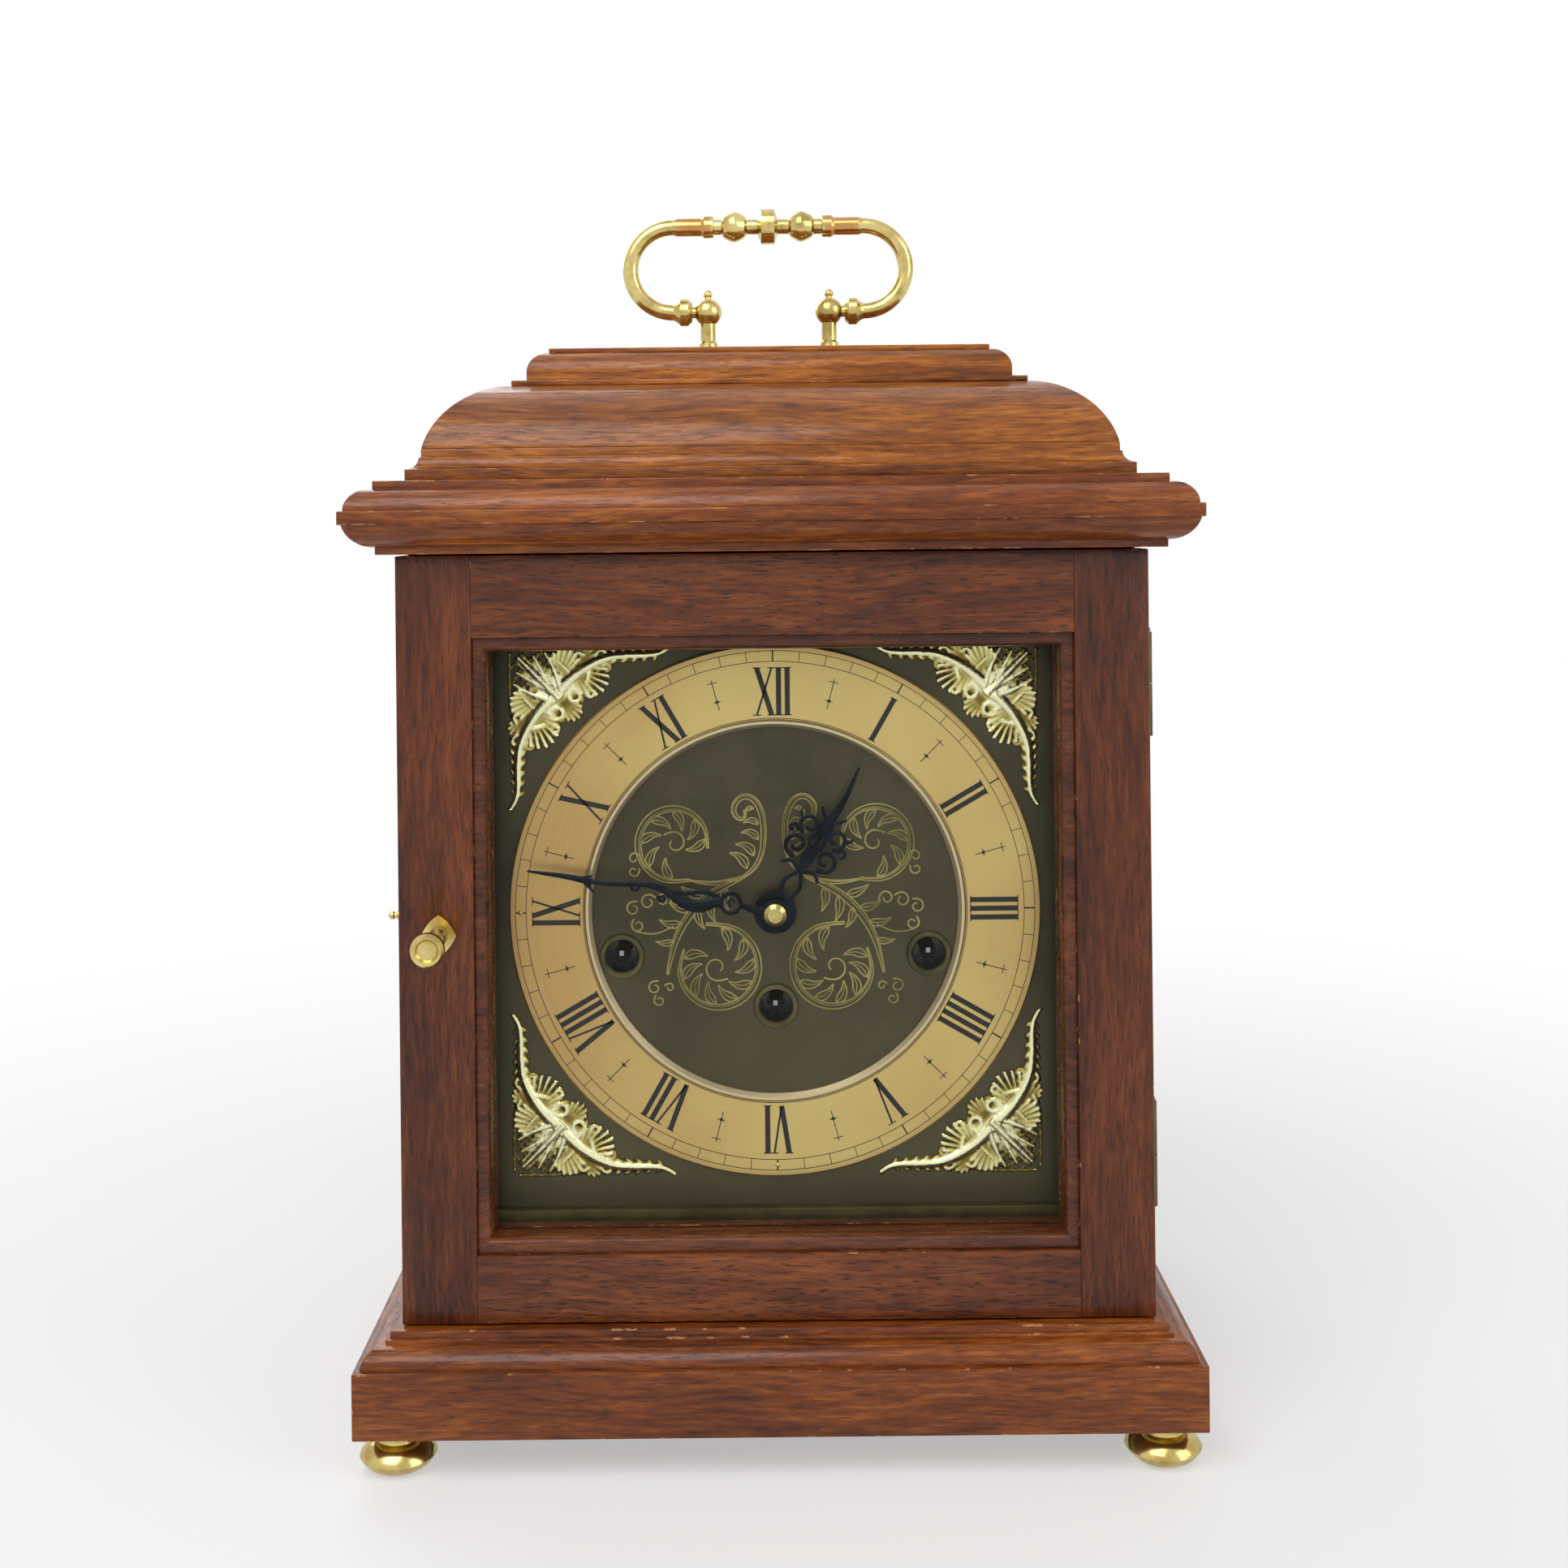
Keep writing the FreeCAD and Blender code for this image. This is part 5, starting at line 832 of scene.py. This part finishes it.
def lobed_leaf(x, y, angle, length, curl, thick, lobes):
    """A cast leaf: a thick curling rib with lobes on both sides and a rolled tip."""
    lines = []
    spine = []
    for step in range(lobes + 1):
        share = step / lobes
        bend = math.radians(angle + curl * share)
        swell = thick * (1.0 - 0.55 * share)
        spine.append((x, y, swell))
        if 0 < step < lobes:
            reach = length * (0.30 - 0.14 * share)
            for side in (1, -1):
                out = bend + side * math.radians(62 - 20 * share)
                tip = out - side * 0.35
                lines.append([
                    (x, y, swell * 0.6),
                    (x + math.cos(out) * reach * 0.6, y + math.sin(out) * reach * 0.6, swell * 0.62),
                    (x + math.cos(tip) * reach, y + math.sin(tip) * reach, swell * 0.42)])
        x += math.cos(bend) * length / lobes
        y += math.sin(bend) * length / lobes
    return lines + [spine, bead(spine[-1][0], spine[-1][1], thick * 0.6)]


def corner_relief():
    """Half of the upper right spandrel, up to the diagonal, in rods and webs."""
    beads = [bead(x, y, size) for x, y, size in (
        (60.0, 82.3, 0.8), (63.3, 82.4, 0.7), (66.6, 82.4, 0.8), (70.0, 82.4, 0.7), (73.3, 82.4, 0.85),
        (76.6, 82.3, 0.75), (80.0, 81.9, 0.9), (76.8, 79.2, 0.8), (72.8, 80.6, 0.7), (68.4, 80.6, 0.7))]
    lattice = [thinned([(56.0, 80.8), (64.0, 81.6), (73.0, 81.9), (80.6, 81.6)], 0.45, 0.45),
               thinned([(70.5, 81.6), (76.0, 76.0)], 0.4, 0.4),
               thinned([(75.4, 81.4), (79.0, 79.0)], 0.4, 0.4)]
    arm = [thinned([(31.8, 81.9), (34.0, 80.2), (38.0, 79.3), (45.0, 79.4), (51.0, 79.0), (57.5, 76.0),
                    (62.5, 72.5), (66.0, 68.5)], 0.8, 1.9),
           bead(31.8, 81.9, 1.1)]
    for number in range(6):
        x = 36.0 + number * 3.1
        size = 0.72 + number * 0.05
        arm.append(leaf(x, 79.8, 62, 3.0 + number * 0.1, -60, size))
        arm.append(leaf(x, 79.0, -68, 2.5 + number * 0.25, 60, size))
    shells = (fan((62.0, 75.5), (56.6, 72.6), 6.0, 128, 322, 9, 0.95)
              + fan((61.0, 76.5), (57.0, 79.4), 3.0, 60, 190, 5, 0.75)
              + fan((67.0, 70.5), (64.6, 77.2), 4.6, 20, 165, 7, 0.9))
    leaves = (lobed_leaf(66.0, 69.5, 76, 12.0, -22, 1.5, 5) + lobed_leaf(67.5, 68.0, 58, 13.5, 4, 1.5, 6)
              + lobed_leaf(65.5, 70.0, 118, 7.5, 50, 1.2, 4) + lobed_leaf(62.6, 70.4, 215, 7.0, 60, 1.1, 4))
    curls = [scroll(61.2, 67.0, 2.7, 0.9, 60, -0.9, 1.1, 0.7),
             scroll(57.0, 67.8, 1.8, 0.7, 150, 1.0, 0.85, 0.6),
             scroll(53.0, 79.6, 2.0, 0.7, -60, 1.0, 0.85, 0.6),
             scroll(60.4, 78.8, 2.1, 0.7, 160, -1.0, 0.85, 0.6),
             scroll(51.4, 75.4, 1.6, 0.6, 30, 1.0, 0.7, 0.5)]
    webs = [[(56.6, 74.0, 5.6), (57.4, 74.2, 5.6)], [(64.8, 76.4, 4.8), (65.2, 76.0, 4.8)],
            [(62.5, 70.5, 4.4), (67.5, 68.5, 4.8)], [(40.0, 79.4, 1.6), (52.0, 78.8, 2.4)]]
    return beads + lattice + arm + shells + leaves + curls, webs


def cast_corners():
    """Cast spandrels: a leafy arm along each edge, fluted shells, a beaded lattice in
    the crown, leaves that break out over it and a small shell against the ring."""
    half, half_webs = corner_relief()
    spine = (lobed_leaf(66.0, 66.0, 45, 18.5, 0, 2.1, 7)
             + fan((66.0, 66.0), (62.4, 62.4), 3.4, 130, 320, 7, 0.8))
    webs = half_webs + mirrored(half_webs, False) + [[(62.9, 62.9, 3.2), (63.3, 63.3, 3.2)]]
    relief = drawn(half + mirrored(half, False) + spine, 0.95, 2, 3)
    joined(relief, drawn(webs, 0.16, 4, 3))
    casting = bpy.data.meshes.new("casting")
    relief.to_mesh(casting)
    relief.free()
    holder = bpy.data.objects.new("casting", casting)
    bpy.context.scene.collection.objects.link(holder)
    skin = holder.modifiers.new("skin", "REMESH")
    skin.mode = "VOXEL"
    skin.voxel_size = CAST_VOXEL
    bpy.context.view_layer.update()
    poured = holder.evaluated_get(bpy.context.evaluated_depsgraph_get())
    quarter = bmesh.new()
    quarter.from_mesh(poured.to_mesh())
    bpy.data.objects.remove(holder)
    bmesh.ops.smooth_vert(quarter, verts=quarter.verts, factor=0.35,
                          use_axis_x=True, use_axis_y=True, use_axis_z=True)
    low = [vert for vert in quarter.verts if vert.co.z < -0.05]
    bmesh.ops.delete(quarter, geom=low, context="VERTS")
    whole = bmesh.new()
    for flip_x, flip_y in ((1, 1), (-1, 1), (1, -1), (-1, -1)):
        copy = quarter.copy()
        bmesh.ops.scale(copy, vec=(flip_x, flip_y, 1), verts=copy.verts)
        if flip_x * flip_y < 0:
            bmesh.ops.reverse_faces(copy, faces=copy.faces)
        joined(whole, copy)
    quarter.free()
    bmesh.ops.transform(whole, verts=whole.verts, matrix=on_dial(PLATE_FACE))
    placed("spandrel_castings", whole, cast_gilt, "case", ("spandrels",), 180.0)


def winding_hole_shade():
    """Black tubes of painted shade behind the winding holes, open round each squared arbor, and a bright
    steel patch near the upper corner of the end of each arbor as a painted glint."""
    wells = bmesh.new()
    for arbor in WINDING_ARBORS:
        low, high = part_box(arbor)
        middle = (low + high) / 2
        well = bmesh.new()
        # Painted shade: a black tube where the hole holds only shade.
        bmesh.ops.create_circle(well, cap_ends=False, radius=WELL_RADIUS, segments=48)
        deep = bmesh.ops.extrude_edge_only(well, edges=well.edges[:])["geom"]
        back = corners_in(deep)
        bmesh.ops.translate(well, verts=back, vec=(0, 0, -WELL_DEPTH))
        end = [part for part in deep if isinstance(part, bmesh.types.BMEdge)
               and part.verts[0] in back and part.verts[1] in back]
        throat = corners_in(bmesh.ops.extrude_edge_only(well, edges=end)["geom"])
        bmesh.ops.scale(well, vec=(WELL_THROAT, WELL_THROAT, 1), verts=throat)
        bmesh.ops.recalc_face_normals(well, faces=well.faces)
        bmesh.ops.reverse_faces(well, faces=well.faces)
        bmesh.ops.transform(well, verts=well.verts, matrix=(
            Matrix.Translation((middle.x, PLATE_BACK, middle.z)) @ Matrix.Rotation(math.radians(90), 4, "X")))
        joined(wells, well)
        # Painted glint: a small bright steel patch on each arbor's end stands in for the light caught there.
        worn = bmesh.new()
        bmesh.ops.create_cube(worn, size=1.0, matrix=(
            Matrix.Translation((middle.x - 0.2 * MM, low.y, middle.z + 0.8 * MM))
            @ Matrix.Diagonal((1.3 * MM, 0.04 * MM, 1.5 * MM, 1))))
        placed(arbor + "_painted_glint", worn, bright_steel, BODY_OF[arbor])
    placed("winding_hole_shade", wells, hole_shade_black, "case")


def hand(name, lines, node, turn, boss, bore):
    """A pierced hand of flattened scrolls round its boss, pointing along y in plan."""
    bm = drawn(lines, 0.42, 2, 4)
    outer = bmesh.ops.create_circle(bm, cap_ends=False, radius=boss, segments=48)["verts"]
    rim = list({edge for vert in outer for edge in vert.link_edges})
    inner = corners_in(bmesh.ops.extrude_edge_only(bm, edges=rim)["geom"])
    bmesh.ops.scale(bm, vec=(bore / boss, bore / boss, 1), verts=inner)
    disc = list({face for vert in outer for face in vert.link_faces})
    bmesh.ops.recalc_face_normals(bm, faces=disc)
    bmesh.ops.solidify(bm, geom=disc, thickness=0.45)
    low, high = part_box(node)
    bmesh.ops.recalc_face_normals(bm, faces=bm.faces)
    bmesh.ops.transform(bm, verts=bm.verts, matrix=on_dial((low.y + high.y) / 2, turn))
    placed(name, bm, blued_steel, BODY_OF[node], (node,), 50.0)


def hands():
    """The hour hand a little past one and the minute hand past forty six minutes."""
    side = [
        thinned([(1.2, 5.0), (2.8, 8.4), (2.5, 11.6), (0.5, 14.4)], 0.7, 0.6),
        thinned([(0.3, 14.4), (2.6, 16.4), (5.2, 16.2), (6.6, 14.2)], 0.7, 0.5),
        scroll(5.2, 21.4, 4.0, 1.3, -110, 1.2, 0.75, 0.55), scroll(4.6, 28.8, 3.6, 1.2, -80, 1.1, 0.7, 0.55),
        thinned([(0.3, 16.0), (1.5, 19.0), (1.1, 22.5), (2.6, 25.3), (1.2, 28.6), (2.0, 31.4), (0.4, 34.4)],
                0.85, 0.6),
        scroll(8.6, 25.4, 1.6, 0.7, 190, -0.9, 0.55, 0.45),
        thinned([(0.6, 32.6), (2.8, 33.4), (4.3, 35.6)], 0.65, 0.45),
        leaf(4.4, 17.6, 10, 4.6, 60, 0.6), leaf(7.4, 29.4, 30, 3.4, 60, 0.5),
    ]
    pointer = [thinned([(0, 29), (0.5, 35), (0.6, 39.5), (0.3, 44), (-0.4, 49), (-0.7, 51.6)], 1.4, 0.3),
               thinned([(0, 14), (0, 20), (0, 29)], 0.65, 0.85)]
    hand("hour_hand_pierced", side + mirrored(side) + pointer, "hour_hand", HOUR_TURN, 6.6, 3.6)
    minute = [
        thinned([(0, 3.5), (0.3, 7.5), (0.8, 10.8)], 1.7, 0.7),
        scroll(0.9, 13.9, 3.2, 3.2, -90, 1.0, 0.62, 0.62), scroll(0.9, 13.9, 1.2, 0.8, -60, 0.8, 0.35, 0.35),
        thinned([(0.9, 16.9), (0.2, 19.5), (-1.2, 23), (-1.6, 27), (-0.4, 31), (1.4, 34.5), (2.2, 38.5),
                 (2.1, 42)], 1.7, 0.85),
        thinned([(1.4, 17.2), (3.1, 20.5), (2.8, 24.5), (1.2, 28.2), (1.4, 31.8)], 0.9, 0.6),
        thinned([(-0.6, 19), (-2.9, 22), (-3.3, 26), (-2.0, 30), (-0.4, 32.6)], 0.8, 0.5),
        scroll(0.9, 43.6, 1.6, 0.7, 30, 0.9, 0.55, 0.45), scroll(-1.2, 35.0, 1.3, 0.5, 60, 1.1, 0.5, 0.4),
        thinned([(2.1, 41.5), (1.5, 45.5), (0.6, 49.5), (0.1, 54), (0, 58)], 0.9, 0.62),
        thinned([(-2.9, 56), (-1.4, 58), (0.1, 59.6), (0.2, 62)], 0.38, 0.95),
        thinned([(1.9, 57.4), (0.9, 59.4), (0.1, 61.4)], 0.32, 0.85),
        thinned([(0, 57), (0.3, 61), (0.3, 68), (0, 73), (-0.1, 77.2)], 1.2, 0.32),
    ]
    hand("minute_hand_pierced", minute, "minute_hand", MINUTE_TURN, 4.5, 1.95)


# ---------------------------------------------------------------------------
# Room
# ---------------------------------------------------------------------------

def direct(finish):
    """1 for what the camera sees, also in polish and through glass, and 0 for light
    that falls on the clock."""
    path = finish.raw("LightPath").outputs
    camera, glossy, through = [Sum(finish, path["Is " + kind + " Ray"])
                               for kind in ("Camera", "Glossy", "Transmission")]
    return (camera + glossy + through).maths("MINIMUM", 1.0)


def pale_floor():
    """Pale paint under the clock, white where it meets the backdrop."""
    bm = bmesh.new()
    bmesh.ops.create_grid(bm, x_segments=4, y_segments=4, size=6.0)
    mesh = bpy.data.meshes.new("floor")
    bm.to_mesh(mesh)
    bm.free()
    floor = bpy.data.objects.new("floor", mesh)
    bpy.context.scene.collection.objects.link(floor)
    finish = Finish("floor_paint")
    cloud = finish.noise(finish.place(), 3.0, 2.0)
    paint = finish.raw("BsdfPrincipled", {}, {
        "Base Color": finish.ramp(cloud, [(0.3, (0.80, 0.80, 0.80, 1)), (0.7, (0.83, 0.83, 0.83, 1))]),
        "Roughness": 0.6})
    white = finish.raw("Emission", {}, {"Color": (1.0, 1.0, 1.0, 1.0), "Strength": 1.0})
    x, y, z = finish.parts(finish.place())
    away = (x * x + y * y).maths("SQRT").smoothed(0.15, 0.75)
    floor.data.materials.append(finish.ended(
        finish.mixed(direct(finish) * (away * 0.55 + 0.45), paint, white)))


def backdrop():
    """White where it is seen, and dimmer as a light on the clock."""
    finish = Finish("studio", bpy.data.worlds)
    sky = finish.raw("Background", {}, {"Color": (1.0, 1.0, 1.0, 1.0),
                                        "Strength": direct(finish) * 0.58 + 0.42})
    bpy.context.scene.world = finish.ended(sky, "OutputWorld")


def lamps():
    """Soft lamps above, to the right and behind, turned towards the clock."""
    for name, spot, size, power in (("lamp_overhead", (-0.35, -0.75, 1.15), 0.9, 9.0),
                                    ("lamp_right", (1.0, -0.6, 0.7), 0.7, 4.0),
                                    ("lamp_behind", (-0.6, 0.9, 0.9), 0.8, 4.0)):
        light = bpy.data.lights.new(name, "AREA")
        light.shape = "SQUARE"
        light.size = size
        light.energy = power
        lamp = bpy.data.objects.new(name, light)
        lamp.location = spot
        lamp.rotation_euler = (Vector((0.0, 0.0, 0.2)) - Vector(spot)).to_track_quat("-Z", "Y").to_euler()
        bpy.context.scene.collection.objects.link(lamp)


def photograph_camera():
    """The photograph's view: level, a little above the middle, framed downwards."""
    data = bpy.data.cameras.new("camera")
    data.sensor_width = 36.0
    data.lens = 43.4
    data.shift_x = 0.0114
    data.shift_y = -0.1724
    data.clip_start = 0.01
    camera = bpy.data.objects.new("camera", data)
    camera.location = (-0.0015, -0.6375, 0.2812)
    camera.rotation_euler = (math.radians(90), 0.0, 0.0)
    camera.rotation_euler.rotate_axis("Z", math.radians(-0.6))
    bpy.context.scene.collection.objects.link(camera)
    bpy.context.scene.camera = camera
    bpy.context.scene.view_settings.view_transform = "Standard"


finish_solids()
ring_markings()
engraving()
cast_corners()
winding_hole_shade()
hands()
pale_floor()
backdrop()
lamps()
photograph_camera()
